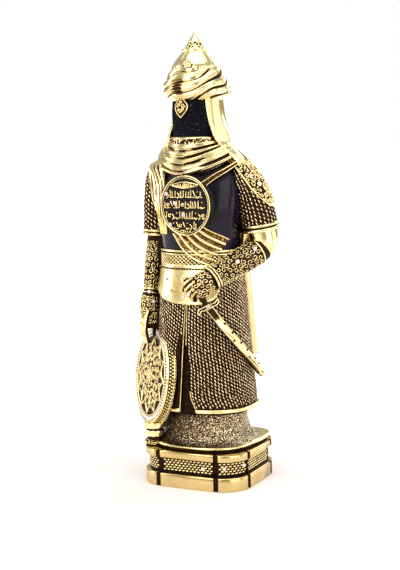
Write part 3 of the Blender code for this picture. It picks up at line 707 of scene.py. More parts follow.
def enamel_finish(name, color, sheen_color, roughness=0.12, coat=0.1):
    """Glossy dark enamel, thicker and thinner in clouds."""
    made = Finish(name, roughness)
    cloud = made.noise(70.0, 4.0)
    made.color(cloud, ((0.35, color), (0.75, sheen_color)))
    made.show("Roughness", made.clamp(roughness + (made.noise(500.0) - 0.5) * 0.1))
    made.shader.inputs["Coat Weight"].default_value = coat
    made.shader.inputs["Coat Roughness"].default_value = 0.04
    made.shader.inputs["Specular IOR Level"].default_value = 0.14
    made.bump(made.noise(160.0), 0.12, 0.0006)
    return made.material


def veil_finish():
    """Black links with a few dim painted glints."""
    made = Finish("veil enamel", 0.5)
    painted_glint = made.noise(760.0, 2.0)
    made.color(painted_glint, ((0.62, (0.002, 0.002, 0.004)), (0.7, (0.03, 0.033, 0.05)), (0.76, (0.3, 0.32, 0.38))))
    made.show("Metallic", made.clamp((painted_glint - 0.68) * 12.0))
    made.show("Roughness", made.clamp(0.65 - made.noise(300.0) * 0.2))
    made.shader.inputs["Specular IOR Level"].default_value = 0.08
    return made.material


def stone_finish():
    made = Finish("foiled glass", 0.08)
    # Painted sparkle: noise whitens the glass in painted glints and makes it glow a little by emission.
    painted_glint = made.noise(1400.0, 1.0)
    made.color(painted_glint, ((0.35, (0.55, 0.40, 0.47)), (0.5, (0.9, 0.78, 0.84)), (0.68, (1.0, 0.97, 1.0))))
    made.show("Metallic", made.clamp(painted_glint * 0.9))
    made.show("Emission Color", made.ramp(painted_glint, ((0.4, (0.05, 0.03, 0.04)), (0.6, (0.22, 0.19, 0.21)))))
    made.shader.inputs["Emission Strength"].default_value = 0.6
    made.shader.inputs["Coat Weight"].default_value = 1.0
    return made.material


GILT = gilt_finish("gilt over patina")
SATIN_GILT = gilt_finish("satin gilt", roughness=0.26, edge=0.45, gilt_tone=0.3)
POLISHED_GILT = gilt_finish("polished gilt", roughness=0.1, gilt_tone=0.03)
APRON_GILT = gilt_finish("apron gilt", roughness=0.28, gilt_tone=0.05)
SCALE_GILT = gilt_finish("scale gilt", roughness=0.2, edge=0.46, gilt_tone=0.3)
MAIL_GROUND = gilt_finish("mail ground", roughness=0.5, edge=0.8, gilt_tone=0.3)
MAIL_GILT = gilt_finish("mail gilt", 0.24, 0.6, 0.35, (0.80, 0.61, 0.34), (1.0, 0.90, 0.63))
SLAB_GILT = gilt_finish("slab gilt", 0.2, 0.58, 0.4, (0.58, 0.42, 0.17), (0.77, 0.61, 0.28))
CLOTH_GILT = gilt_finish("cloth gilt", 0.17, 0.5, 0.2, (0.68, 0.53, 0.24), (0.84, 0.76, 0.45))
HELMET_GILT = gilt_finish("helmet gilt", 0.15, 0.52, 0.2, (0.72, 0.56, 0.25), (0.87, 0.79, 0.45))
WIRE_GILT = plain_gilt("relief gilt", 0.18, (0.5, 0.28, 0.07))
STIPPLED_GILT = stipple_finish()
PALE_BEADS = bead_finish()
PATINA_FINISH = patina_finish()
ENAMEL = enamel_finish("blue-black enamel", (0.003, 0.0025, 0.005), (0.014, 0.010, 0.024), 0.17)
DISC_ENAMEL = enamel_finish("disc enamel", (0.006, 0.004, 0.004), (0.014, 0.009, 0.010), 0.5, 0.0)
VEIL_ENAMEL = veil_finish()
STONE = stone_finish()


# Mail, scrolls and pleats


def mail(
    name, surface, width, height, keep=None, slant=-60.0, seed=1.0, finish=MAIL_GILT, pitch=(2.2, 2.3),
    size=(1.6, 0.5, 0.6),
):
    """Staggered columns of links over a surface. They slant down to the viewer's right, in degrees."""
    rows, columns = int(height / pitch[1]), int(width / pitch[0])
    v, u = np.meshgrid((np.arange(rows) + 0.5) / rows, (np.arange(columns) + 0.5) / columns, indexing="ij")
    v = v + ((np.arange(columns) % 2) * 0.5 - 0.25)[None, :] / rows
    u, v = u.reshape(-1), v.reshape(-1)
    if keep is not None:
        kept = keep(u, v)
        u, v = u[kept], v[kept]
    normal, _ = normals(surface, u, v)
    points = surface(u, v, 0.05)
    right = unit(np.cross((0.0, 0.0, 1.0), normal))
    up = np.cross(normal, right)
    sideways, upwards = ripple(points, 2.2, seed + 7.0)[:, None], ripple(points, 1.6, seed + 9.0)[:, None]
    points = points + right * 0.42 * sideways + up * 0.4 * upwards
    lean = np.radians(slant + 18.0 * ripple(points, 3.0, seed))[:, None]
    along = right * np.cos(lean) + up * np.sin(lean)
    scale = 1.0 + 0.42 * ripple(points, 1.3, seed + 4.0)
    return set_forms(
        name, GRAIN, dict(zip(("Length", "Width", "Height"), size)), finish, points, normal, along, scale,
    )


def lattice(width, height, pitch_across, pitch_up):
    """Shares u and v of a brick pattern over a width and height in millimetres."""
    rows, columns = max(int(height / pitch_up), 1), max(int(width / pitch_across), 1)
    v, u = np.meshgrid((np.arange(rows) + 0.5) / rows, (np.arange(columns) + 0.5) / columns, indexing="ij")
    shift = (np.arange(rows) % 2)[:, None] * 0.5 / columns - 0.25 / columns
    return (u + shift).reshape(-1), v.reshape(-1)


def scroll_lines(surface, width, height, pitch, seed, lift=0.15, keep=None):
    """Running scrolls over a surface of this width and height in millimetres."""
    chance = np.random.RandomState(seed)
    lines = []
    us, vs = lattice(width, height, pitch, pitch * 0.86)
    for k, (u, v) in enumerate(zip(us, vs)):
        if keep is not None and not keep(u, v):
            continue
        turn = chance.uniform(0, 2 * math.pi)
        hand = 1 if k % 2 else -1
        t = np.linspace(0, 1, 11)
        radius = pitch * 0.52 * (1 - 0.78 * t)
        spin = turn + hand * 2 * np.pi * 1.05 * t
        across, up = radius * np.cos(spin), radius * np.sin(spin)
        uu = np.clip(u + across / width, 0.005, 0.995)
        vv = np.clip(v + up / height, 0.005, 0.995)
        lines.append(surface(uu, vv, lift))
    return lines


def pleated(name, surface, ridges, columns, rows, rise, depth, finish, hollow=0.34, sharp=0.35):
    """Band of pleats with a thin bare ridge between darker satin hollows; its hidden face lies flat."""
    piece = Piece(name, finish)

    def crest(u):
        return np.abs(np.cos(np.pi * ridges * u))

    def lifted(u, v):
        return surface(u, v, rise * crest(u) ** 1.6)

    u, v = np.meshgrid(np.linspace(0, 1, columns), np.linspace(0, 1, rows))
    shade = hollow + (1 - hollow) * smooth(1 - sharp, 1 - sharp * 0.4, crest(u))
    piece.slab(lifted(u, v), surface(u, v, -depth), shade)
    return piece.done()


# Foot and coat


def foot_surface(profile):
    """Foot with its lip, rounder in front and squarer behind; its column swells to the figure's right."""
    rows = evenly(profile)

    def surface(u, v, lift=0.0):
        z, reach, spreading = spline(rows, v)
        azimuth = 360.0 * u
        behind = smooth(-0.25, 0.25, -np.cos(np.radians(azimuth)))
        wider = 1.0 + 0.055 * behind * spreading
        squareness = 2.1 + (0.5 + 1.7 * behind) * spreading
        x, y = oval(azimuth, reach * wider + lift, reach * 0.93 + lift, squareness)
        to_right = np.clip(-np.sin(np.radians(azimuth + 10.0)), 0, 1)
        swell = FOOT_SWELL * (1 - np.clip(spreading, 0, 1)) * to_right**1.5
        return stack(x - swell, y, z)

    return surface


def make_foot():
    lip = (
        (25.0, 32.4, 1.0), (25.0, 33.4, 1.0), (26.5, 33.4, 1.0), (26.8, 35.0, 1.0),
        (27.4, 35.4, 1.0), (28.0, 35.1, 1.0), (28.3, 34.0, 1.0), (28.3, 30.0, 0.9),
    )
    piece = Piece("foot_lip", GILT)
    piece.round_wall(foot_surface(lip), 160, 30, gilt=lambda u, v: smooth(0.36, 0.5, v)).done()
    column = foot_surface((
        (27.9, 34.0, 1.0), (28.6, 32.2, 0.85), (30.0, 30.0, 0.5), (32.6, 28.2, 0.25),
        (37.5, 27.2, 0.1), (46.0, 26.6, 0.0), (55.0, 26.6, 0.0),
    ))

    # Painted shade on the stippled column: dark on the figure's right side, lighter on its left, and darker
    # towards its top.
    def painted_column_shade(u, v):
        azimuth = (360.0 * u + 180.0) % 360.0 - 180.0
        return 0.06 + 0.42 * smooth(-50.0, 50.0, azimuth) - 0.15 * smooth(0.75, 0.95, v)

    piece = Piece("foot_column", STIPPLED_GILT)
    piece.round_wall(column, 220, 50, lambda u, v: 0.12 * ripple(column(u, v), 1.6, 3.0), painted_column_shade).done()
    ledge = ((27.9, 35.0, 1.0), (28.5, 35.2, 1.0), (28.9, 34.8, 1.0), (29.2, 32.6, 0.9), (29.3, 29.5, 0.7))
    edge = foot_surface(ledge)
    piece = Piece("foot_ledge", POLISHED_GILT)
    piece.wall(lambda u, v, lift=0.0: edge(0.22 + 0.56 * u, v, lift), 120, 12, 1.2).done()


def slit_edge(z, side):
    """Azimuth of the coat's front slit at a height: side -1 is the figure's right edge, 1 its left."""
    rows = (
        (50.0, 0.55, 6.45), (54.5, 0.1, 6.0), (62.0, -1.5, 4.4), (80.0, -1.95, 3.95),
        (93.0, -2.5, 3.0), (108.0, -1.45, 1.6), (125.0, -1.0, 1.35), (150.0, -0.9, 1.3),
    )
    middle, half = spline(rows, z)
    return azimuth_at(middle + side * half, z)


def coat(bottom, top):
    """Surface of the mail coat from the slit's left edge round to its right edge."""

    def surface(u, v, lift=0.0):
        z = bottom + (top - bottom) * v
        start, end = slit_edge(z, 1), slit_edge(z, -1) + 360.0
        return body(start + (end - start) * u, z, lift)

    return surface


def make_coat():
    def robe(u, v, lift=0.0):
        return body(360.0 * u, 49.5 + 100.0 * v, lift - 2.2)

    Piece("under_robe", PATINA_FINISH).round_wall(robe, 96, 24, gilt=0.1).done()
    make_slit()
    Piece("coat_ground", MAIL_GROUND).wall(coat(HEM_Z + 0.8, 150.0), 150, 48, 3.0, gilt=0.0).done()
    bottom, top = HEM_Z + 3.4, 147.0
    sheet = coat(bottom, top)

    def open_part(u, v):
        points = sheet(u, v)
        x, y, z = points[:, 0], points[:, 1], points[:, 2]
        start, end = slit_edge(z, 1), slit_edge(z, -1) + 360.0
        azimuth = (start + (end - start) * u + 180.0) % 360.0 - 180.0
        under_cape = (z > 92.0) & (y > 9.0)
        # Links are left off by the slit below the shield's edge so the dark ground shows: partly links
        # missing from the casting, partly painted shadow of the shield.
        bare_and_shadowed = (y < 0.0) & (x < 0.0) & (z < 102.0) & (x > np.interp(z, (86.0, 102.0), (-10.4, -5.6)))
        hem = np.where((azimuth > -64.0) & (azimuth < 50.0), spline(APRON_HEM, azimuth)[0], 500.0)
        return ~(under_cape | bare_and_shadowed | (z > hem + 1.0))

    mail("coat_mail", sheet, 196.0, top - bottom, open_part)
    trim = coat(HEM_Z - 0.4, HEM_Z + 2.2)
    hem = Piece("coat_hem", GILT)
    hem.wall(trim, 190, 10, 3.2, lambda u, v: 0.9 + 0.5 * np.sin(np.pi * v), 1.0, 0.3).done()


def make_slit():
    """Trims down the coat's front opening."""

    def line(low, high, x_low, x_high, lift):
        z = np.linspace(low, high, 24)
        return body(azimuth_at(np.interp(z, (low, high), (x_low, x_high)), z), z, lift)

    flap = np.linspace(52.0, 66.0, 10)
    draw_wires("slit_trims", [
        line(51.5, 125.0, -5.5, -1.9, -0.2), line(96.0, 125.0, -0.9, -0.7, -0.1),
        body(slit_edge(flap, 1), flap, 0.5),
    ], 0.42, WIRE_GILT)

    def band(u, v, lift=0.0):
        z = 84.0 + 41.0 * v
        x = np.interp(z, (84.0, 125.0), (-4.6, -2.5)) + (0.9 + 0.9 * v) * u
        return body(azimuth_at(x, z), z, lift - 0.9)

    Piece("slit_band", SATIN_GILT).wall(band, 6, 40, 1.2, gilt=lambda u, v: 0.18 + 0.26 * v).done()


def make_belt():
    def ring(z, lift):
        return body(np.linspace(0, 360, 128, endpoint=False), np.full(128, z), lift)

    belt = Piece("belt_ground", PATINA_FINISH)
    belt.round_wall(lambda u, v, lift=0.0: body(360.0 * u, 147.2 + 8.4 * v, lift + 1.35), 160, 6).done()
    v = np.linspace(0, 1, 9)
    lines = []
    for k in range(58):
        for hand in (-1, 1):
            lines.append(body(360.0 * k / 58 + hand * 17.0 * (v - 0.5), 148.2 + 6.6 * v, 1.5))
    draw_wires("belt_crosshatch", lines, 0.3, WIRE_GILT)
    edges = Piece("belt_edges", GILT)
    for z, lift, radius in ((147.5, 1.6, 0.36), (155.5, 1.7, 0.5), (157.6, 1.1, 0.9)):
        edges.tube(ring(z, lift), radius, 8, closed=True)
    edges.done()
    Piece("belt_shade", PATINA_FINISH).tube(ring(145.9, 1.6), 0.75, 8, closed=True).done()
    beads = body(360.0 * (np.arange(90) + 0.5) / 90, np.full(90, 145.9), 2.3)
    out = outward(beads)
    sizes = {"Length": 0.5, "Width": 0.5, "Height": 0.5}
    set_forms("belt_beads", GRAIN, sizes, MAIL_GILT, beads, out, np.cross(out, (0, 0, 1.0)))


def apron(u, v, lift=0.0):
    azimuth = -64.0 + 114.0 * np.asarray(u, float)
    bottom = spline(APRON_HEM, azimuth)[0]
    return body(azimuth, bottom + (APRON_TOP - bottom) * v, lift + 2.4 - 0.6 * v)


def make_apron():
    def bare(u, v):
        azimuth = -64.0 + 114.0 * np.asarray(u)
        # Painted shade: a brown band where the hand's shadow and reflection fall, and darker towards the
        # apron's edge on the figure's right.
        painted_hand_shade = np.exp(-(((azimuth + 20.0) / 7.0) ** 2)) + smooth(-46.0, -60.0, azimuth)
        return 1.0 - 0.42 * painted_hand_shade * smooth(0.05, 0.3, v)

    plate = Piece("apron_plate", APRON_GILT)
    plate.wall(apron, 110, 44, 2.6, lambda u, v: 0.35 * (1 - smooth(0.02, 0.07, v)), bare, 0.4).done()
    u = np.linspace(0.02, 0.98, 90)
    draw_wires("apron_bead", [apron(u, np.full(90, 0.085), 0.02)], 0.24, WIRE_GILT)


def make_cuirass():
    piece = Piece("cuirass", ENAMEL)
    piece.round_wall(lambda u, v, lift=0.0: body(360.0 * u, 148.0 + 68.0 * v, lift), 128, 60).done()


# Head


def hood(u, v, lift=0.0):
    rows = (
        (208.0, 31.5, 17.0, 0.5, 0.0), (213.0, 33.0, 17.5, 1.0, -0.5), (219.0, 31.0, 18.5, 1.5, -2.5),
        (224.0, 26.4, 18.6, 1.6, -4.2), (229.0, 22.4, 18.6, 1.3, -5.4), (236.0, 20.0, 18.3, 0.8, -6.2),
        (246.0, 17.9, 18.0, 0.2, HEAD_Y), (261.0, 16.6, 17.4, 0.0, HEAD_Y),
    )
    z = 208.0 + 53.0 * v
    half_width, half_depth, centre_x, centre_y = spline(rows, z)
    left_edge = spline(((208.0, 66.0), (226.0, 58.0), (236.0, 54.0), (261.0, 50.0)), z)[0]
    right_rows = ((208.0, 66.0), (226.0, 54.0), (231.0, 56.0), (238.0, 76.0), (246.0, 86.0), (261.0, 88.0))
    right_edge = spline(right_rows, z)[0]
    azimuth = HEAD_TURN + left_edge + (360.0 - left_edge - right_edge) * u
    x, y = oval(azimuth, half_width + lift, half_depth + lift)
    return stack(centre_x + x, centre_y + y, z)


def veil(u, v, lift=0.0):
    rows = ((226.0, 15.6, 16.6), (238.0, 15.8, 17.2), (249.0, 15.9, 17.3), (261.0, 15.0, 16.0))
    z = 226.0 + 35.0 * v
    half_width, half_depth = spline(rows, z)
    x, y = oval(360.0 * u, half_width + lift, half_depth + lift)
    return stack(x, HEAD_Y + y, z)


def make_head():
    Piece("veil_ground", VEIL_ENAMEL).round_wall(veil, 96, 24).done()

    def face(u, v, lift=0.0):
        return veil((HEAD_TURN - 96.0 + 152.0 * u) / 360.0, 0.12 + 0.82 * v, lift)

    links = {
        "slant": 50.0, "seed": 5.0, "finish": VEIL_ENAMEL, "pitch": (1.35, 1.25), "size": (0.62, 0.5, 0.5),
    }
    mail("veil_mail", face, 43.0, 28.0, **links)

    def folds(u, v):
        near_edge = np.minimum(u, 1 - u)
        roll = 0.5 * (1 - smooth(0.0, 0.035, near_edge))
        sway = 0.55 * np.sin(2 * np.pi * (5.0 * u + 0.5 * v)) * (1 - smooth(0.15, 0.75, v))
        return roll + sway

    def bare(u, v):
        return 0.4 + 0.6 * smooth(0.2, 0.45, (folds(u, v) + 0.75) / 1.1)

    Piece("hood", GILT).wall(hood, 150, 70, 1.8, folds, bare, 0.3).done()
    rows = (
        (222.5, 18.0), (224.0, 18.6), (226.0, 18.5), (229.5, 18.2), (231.0, 18.3), (232.0, 17.6),
        (232.2, 16.0),
    )
    band = turned_surface(rows, 0.0, HEAD_Y + 0.4)

    def carved(u, v):
        inside = smooth(0.25, 0.35, v) * (1 - smooth(0.62, 0.7, v))
        return 0.25 * smooth(-0.1, 0.25, ripple(band(u, v), 1.1, 21.0)) * inside

    def gilt_tone(u, v):
        return np.where((v > 0.3) & (v < 0.66), 4.0 * carved(u, v), 1.0)

    Piece("gorget", GILT).round_wall(band, 200, 34, carved, gilt_tone).done()
    make_turban()
    make_helmet()
    make_pendant()


def make_turban():
    rows = (
        (255.6, 16.4), (257.2, 18.6), (259.0, 20.4), (261.4, 21.4), (264.5, 21.5), (268.0, 20.4),
        (271.5, 18.4), (275.0, 16.6), (277.4, 14.4), (277.6, 12.0),
    )
    wound = turned_surface(rows, 0.0, HEAD_Y)

    def phase(u, v):
        z = spline(evenly(rows), v)[0]
        a = 2 * np.pi * u
        drift = 0.3 * np.sin(2 * a + 1.0) + 0.16 * np.sin(5 * a) + 0.1 * np.sin(3 * a + 0.25 * z)
        return (z - 256.0) / 6.4 - 6.0 * u + drift

    def strips(u, v):
        band = np.abs(np.sin(np.pi * phase(u, v)))
        pleat = 0.14 * np.sin(2 * np.pi * 4.0 * phase(u, v))
        return 1.7 * band**0.55 - 1.1 + pleat * smooth(0.3, 0.7, band)

    def bare(u, v):
        band = np.abs(np.sin(np.pi * phase(u, v)))
        thin = smooth(0.06, 0.4, band + 0.16 * np.sin(2 * np.pi * 3.3 * u + 1.0))
        bronze = np.exp(-(((u - 0.972) / 0.042) ** 2) - ((v - 0.42) / 0.17) ** 2)
        return thin * (0.82 + 0.18 * np.sin(2 * np.pi * 4.0 * phase(u, v) + 0.6)) - 0.5 * bronze

    Piece("turban", HELMET_GILT).round_wall(wound, 260, 90, strips, bare).done()


def make_helmet():
    rows = ((270.0, 16.0), (273.0, 16.2), (276.8, 15.8), (280.8, 13.8), (284.4, 10.9), (287.2, 8.3))
    dome = turned_surface(rows, -0.3, HEAD_Y)
    piece = Piece("helmet_dome", HELMET_GILT)

    def line(u):
        """1 on a flute's thin groove, which are cut on the dome's left half and back."""
        cut = smooth(0.06, 0.14, u) * (1 - smooth(0.97, 0.99, u))
        return cut * (1 - smooth(0.1, 0.22, np.abs(np.sin(np.pi * 20 * u))))

    piece.round_wall(dome, 320, 40, lambda u, v: -0.35 * line(u), lambda u, v: 1.0 - 0.85 * line(u)).done()
    spike = turned_surface((
        (287.0, 8.0), (287.2, 8.3), (288.0, 8.6), (288.8, 8.3), (289.1, 6.9), (289.6, 6.5), (291.2, 5.6),
        (293.4, 4.4), (293.8, 4.6), (294.4, 4.0), (296.0, 2.8), (298.0, 1.4), (299.4, 0.7), (300.0, 0.05),
    ), -0.6, HEAD_Y)

    def engraved(u, v):
        points = spike(u, v)
        inside = smooth(289.4, 289.8, points[..., 2]) * (1 - smooth(293.0, 293.4, points[..., 2]))
        return -0.4 * smooth(-0.1, 0.2, ripple(points, 1.2, 31.0)) * inside

    piece = Piece("helmet_spike", GILT)
    piece.round_wall(spike, 120, 110, engraved, lambda u, v: 1.0 + 3.0 * engraved(u, v)).done()
    make_brooch(dome)


def make_brooch(dome):
    """Flower of bent bars on the dome's front, over a dark ring."""
    brooch = Piece("turban_brooch", GILT)
    spot = np.array([0.018]), np.array([0.5])
    centre = dome(*spot, 0.6)[0]
    normal, _ = normals(dome, *spot)
    across = unit(np.cross((0, 0, 1.0), normal[0]))
    up = np.cross(normal[0], across)
    t = np.linspace(0, 1, 22)
    for k in range(5):
        a = 2 * np.pi * k / 5 + 0.4
        petal = centre + (2.2 * np.sin(np.pi * t))[:, None] * (math.cos(a) * across + math.sin(a) * up) * 1.25
        petal = petal + (0.9 * np.sin(2 * np.pi * t))[:, None] * (math.cos(a) * up - math.sin(a) * across)
        brooch.tube(petal, 0.5, 7, out=normal[0])
    c, s = np.cos(2 * np.pi * t)[:, None], np.sin(2 * np.pi * t)[:, None]
    knot = centre + 0.5 * c * across + 0.4 * s * up + 0.6 * normal[0]
    brooch.tube(knot, 0.5, 7, out=normal[0]).done()
    shade = Piece("brooch_shade", PATINA_FINISH)
    around = centre + 2.6 * c * across + (2.0 * s - 0.6) * up - 0.35 * normal[0]
    shade.tube(around[:-1], 0.7, 7, closed=True, out=normal[0], flat=0.6).done()


def make_pendant():
    azimuth = HEAD_TURN - 5.0

    def on_veil(across, rise, lift=0.0):
        return veil((azimuth + np.degrees(across / 16.4)) / 360.0, (250.6 + rise - 226.0) / 35.0, lift)

    outline = ((-6.2, 0.0), (-3.4, 2.8), (-0.4, 4.7), (2.2, 4.6), (4.4, 2.9), (6.2, 0.6))
    rise = np.linspace(-6.2, 6.2, 26)
    half = np.maximum(spline(outline, rise)[0], 0.05)
    plate = Piece("pendant_plate", GILT)

    def face(u, v, lift=0.0):
        width = np.interp(v, np.linspace(0, 1, 26), half)
        return on_veil(width * (2 * u - 1), -6.2 + 12.4 * v, lift + 0.9)

    plate.wall(face, 20, 26, 1.0, lambda u, v: 0 * u, 0.4).done()
    rim = np.concatenate([on_veil(half, rise, 1.1), on_veil(-half[::-1], rise[::-1], 1.1)])
    lines = [rim, on_veil(np.zeros(6), np.linspace(5.8, 8.8, 6), 1.2)]
    for x, y, r, hand in (
        (-1.9, 1.6, 1.6, 1), (1.9, 1.6, 1.6, -1), (0.0, -2.1, 1.5, 1), (0.0, 4.1, 1.0, -1),
        (-1.6, -1.0, 0.9, -1), (1.6, -1.0, 0.9, 1),
    ):
        t = np.linspace(0, 1, 14)
        spin = hand * 2 * np.pi * 1.3 * t
        reach = r * (1 - 0.75 * t)
        lines.append(on_veil(x + reach * np.cos(spin), y + reach * np.sin(spin), 1.25))
    draw_wires("pendant_filigree", lines, 0.38, WIRE_GILT)


def make_cowl():
    rows = (
        (15.4, 16.6, -6.5, 228.6, 2.0, 2.5), (19.8, 20.3, -6.0, 226.2, 3.0, 3.0),
        (19.4, 19.9, -5.6, 223.0, 4.0, 4.2), (23.3, 22.8, -5.0, 221.2, 5.0, 6.2),
        (22.9, 21.7, -4.6, 218.4, 6.2, 8.6), (26.5, 24.6, -4.0, 216.6, 7.4, 10.0),
        (25.9, 23.6, -3.6, 214.2, 8.0, 10.6), (28.6, 25.6, -3.2, 212.2, 9.0, 10.8),
        (27.8, 25.0, -3.0, 210.0, 9.0, 10.8), (29.8, 26.0, -2.8, 208.2, 9.4, 10.6),
        (26.6, 21.4, -2.8, 205.6, 9.4, 10.6),
    )
    table = [(i, *row) for i, row in enumerate(rows)]

    def to_left(u):
        return (u + 0.5) % 1.0 - 0.5

    def index(u, v):
        a = 2 * np.pi * u
        sway = 0.8 * np.sin(a + 0.3) + 0.4 * np.sin(2 * a + 1.1) + 0.2 * np.sin(5 * a + 2.0 + 4.0 * v)
        return 10.0 * v + np.sin(np.pi * v) ** 0.5 * sway

    def folds(u, v, lift=0.0):
        half_width, half_depth, centre_y, front_z, rise_right, rise_left = spline(table, index(u, v))
        azimuth = 360.0 * u
        x, y = oval(azimuth, half_width + lift, half_depth + lift)
        turned = 360.0 * to_left(u) + 6.0
        rise = rise_right + (rise_left - rise_right) * smooth(-15.0, 15.0, turned)
        away = np.sqrt(turned**2 + 144.0) - 12.0
        share = np.minimum(away / 62.0, 1.0) ** 1.1 - smooth(74.0, 125.0, np.abs(turned))
        return stack(x, centre_y + y, front_z + rise * share)

    def bare(u, v):
        place = index(u, v)
        ridge = 0.5 - 0.5 * np.cos(np.pi * place)
        broken = np.sin(2 * np.pi * (2.3 * u + 0.31 * np.floor(place / 2.0 + 0.5)))
        side = smooth(-0.06, 0.05, to_left(u))
        right, left = 0.16 - 0.12 * smooth(0.2, 0.8, broken), -0.14 + 0.34 * smooth(0.35, 0.8, broken)
        filled = (1 - side) * right + side * left
        return np.where((place > 1.2) & (place < 9.0), smooth(0.04, 0.34, ridge + filled), 1.0)

    def fine(u, v):
        return 0.22 * np.sin(2 * np.pi * index(u, v) * 1.5 + 9 * u)

    Piece("cowl", CLOTH_GILT).round_wall(folds, 240, 130, fine, bare).done()


# Breast disc and sashes


def disc_point(across, up, lift=0.0):
    across, up = np.broadcast_arrays(np.asarray(across, float), np.asarray(up, float))
    return stack(DISC_CENTRE[0] + across, DISC_CENTRE[1] - lift + 0 * across, DISC_CENTRE[2] + up)


def disc_surface(profile):
    """Surface of the breast disc through (radius, height) stations."""
    rows = evenly(profile)

    def surface(u, v, lift=0.0):
        radius, height = spline(rows, v)
        a = 2 * np.pi * u
        return disc_point(DISC_SHARE * (radius + lift) * np.cos(a), (radius + lift) * np.sin(a), height)

    return surface


def make_disc():
    r = DISC_HALF_HEIGHT
    profile = ((0.1, -0.7), (r - 2.0, -0.7), (r - 1.4, -0.7), (r - 0.6, -1.6), (r - 0.6, -7.4), (0.1, -7.4))
    Piece("disc_ground", DISC_ENAMEL).round_wall(disc_surface(profile), 96, 24).done()
    a = np.linspace(0, 2 * np.pi, 96, endpoint=False)
    rims = Piece("disc_rims", GILT)
    for radius, lift, thick in ((r - 0.45, -0.35, 0.45), (r - 1.7, -0.5, 0.24)):
        ring = disc_point(DISC_SHARE * radius * np.cos(a), radius * np.sin(a), lift)
        rims.tube(ring, thick, 8, closed=True, out=(0, -1.0, 0))
    rims.done()
    draw_wires("disc_strokes", disc_strokes(), 0.48, WIRE_GILT)


def disc_strokes():
    """Rows of random cast strokes on the disc, under a lens-shaped field. They are no letters."""
    chance = np.random.RandomState(4)
    lens = np.linspace(0, 2 * np.pi, 40)
    tip = 0.5 * np.sign(np.sin(lens)) * (1 - np.abs(np.cos(lens)) ** 1.6) * 3.9
    lines = [disc_point(9.9 * np.cos(lens), 13.3 + tip)]
    t = np.linspace(0, 1, 5)
    for k in range(14):
        x = -6.6 + 1.0 * k
        tall = 1.6 * (1 - (x / 9.4) ** 2)
        lean, share = chance.uniform(-0.8, 0.8), chance.uniform(0.5, 1.0)
        lines.append(disc_point(x + lean * t, 13.3 - tall + 2 * tall * t * share))
    for up in (7.7, 0.9, -6.0, -12.6):
        reach = DISC_SHARE * math.sqrt((DISC_HALF_HEIGHT - 2.9) ** 2 - up**2)
        x = -reach + 0.5
        while x < reach - 0.9:
            made, step = disc_stroke(chance, x, up)
            lines += made
            if chance.rand() < 0.65:
                low = up - 2.4
                lines.append(disc_point(np.array([x, x + step]), np.array([low, low + 0.2])))
            x += step
    t = np.linspace(0, 1, 6)
    for k in range(5):
        lines.append(disc_point(-3.6 + 1.6 * k + 0.8 * t, -16.6 + 0.6 * np.sin(np.pi * t + k)))
    return lines


def disc_stroke(chance, x, up):
    """One random stroke at x in the row at this height: its lines and how far it reaches."""
    kind = chance.randint(7)
    tall = chance.uniform(3.6, 5.0)
    t = np.linspace(0, 1, 7)
    low = up - 2.4
    if kind in (0, 1, 6):
        return [disc_point(x + chance.uniform(-0.6, 0.6) * t, low + tall * t)], 1.75
    if kind == 2:
        return [disc_point(x + 1.2 * np.sin(np.pi * t), low - 0.6 + 3.4 * t)], 2.5
    if kind == 3:
        tail = disc_point(x + 2.2 * t, low + 0.8 - 1.2 * np.sin(np.pi * t))
        return [tail, disc_point(x + 0.8 + 0.5 * t, up + 1.0 + 0.6 * t)], 3.0
    if kind == 4:
        spin = 2 * np.pi * np.linspace(0, 0.9, 9)
        return [disc_point(x + 0.8 + 0.9 * np.cos(spin), up - 0.4 + 0.9 * np.sin(spin))], 2.6
    return [disc_point(x + 1.4 * t, up + 2.0 - 3.4 * t)], 2.2


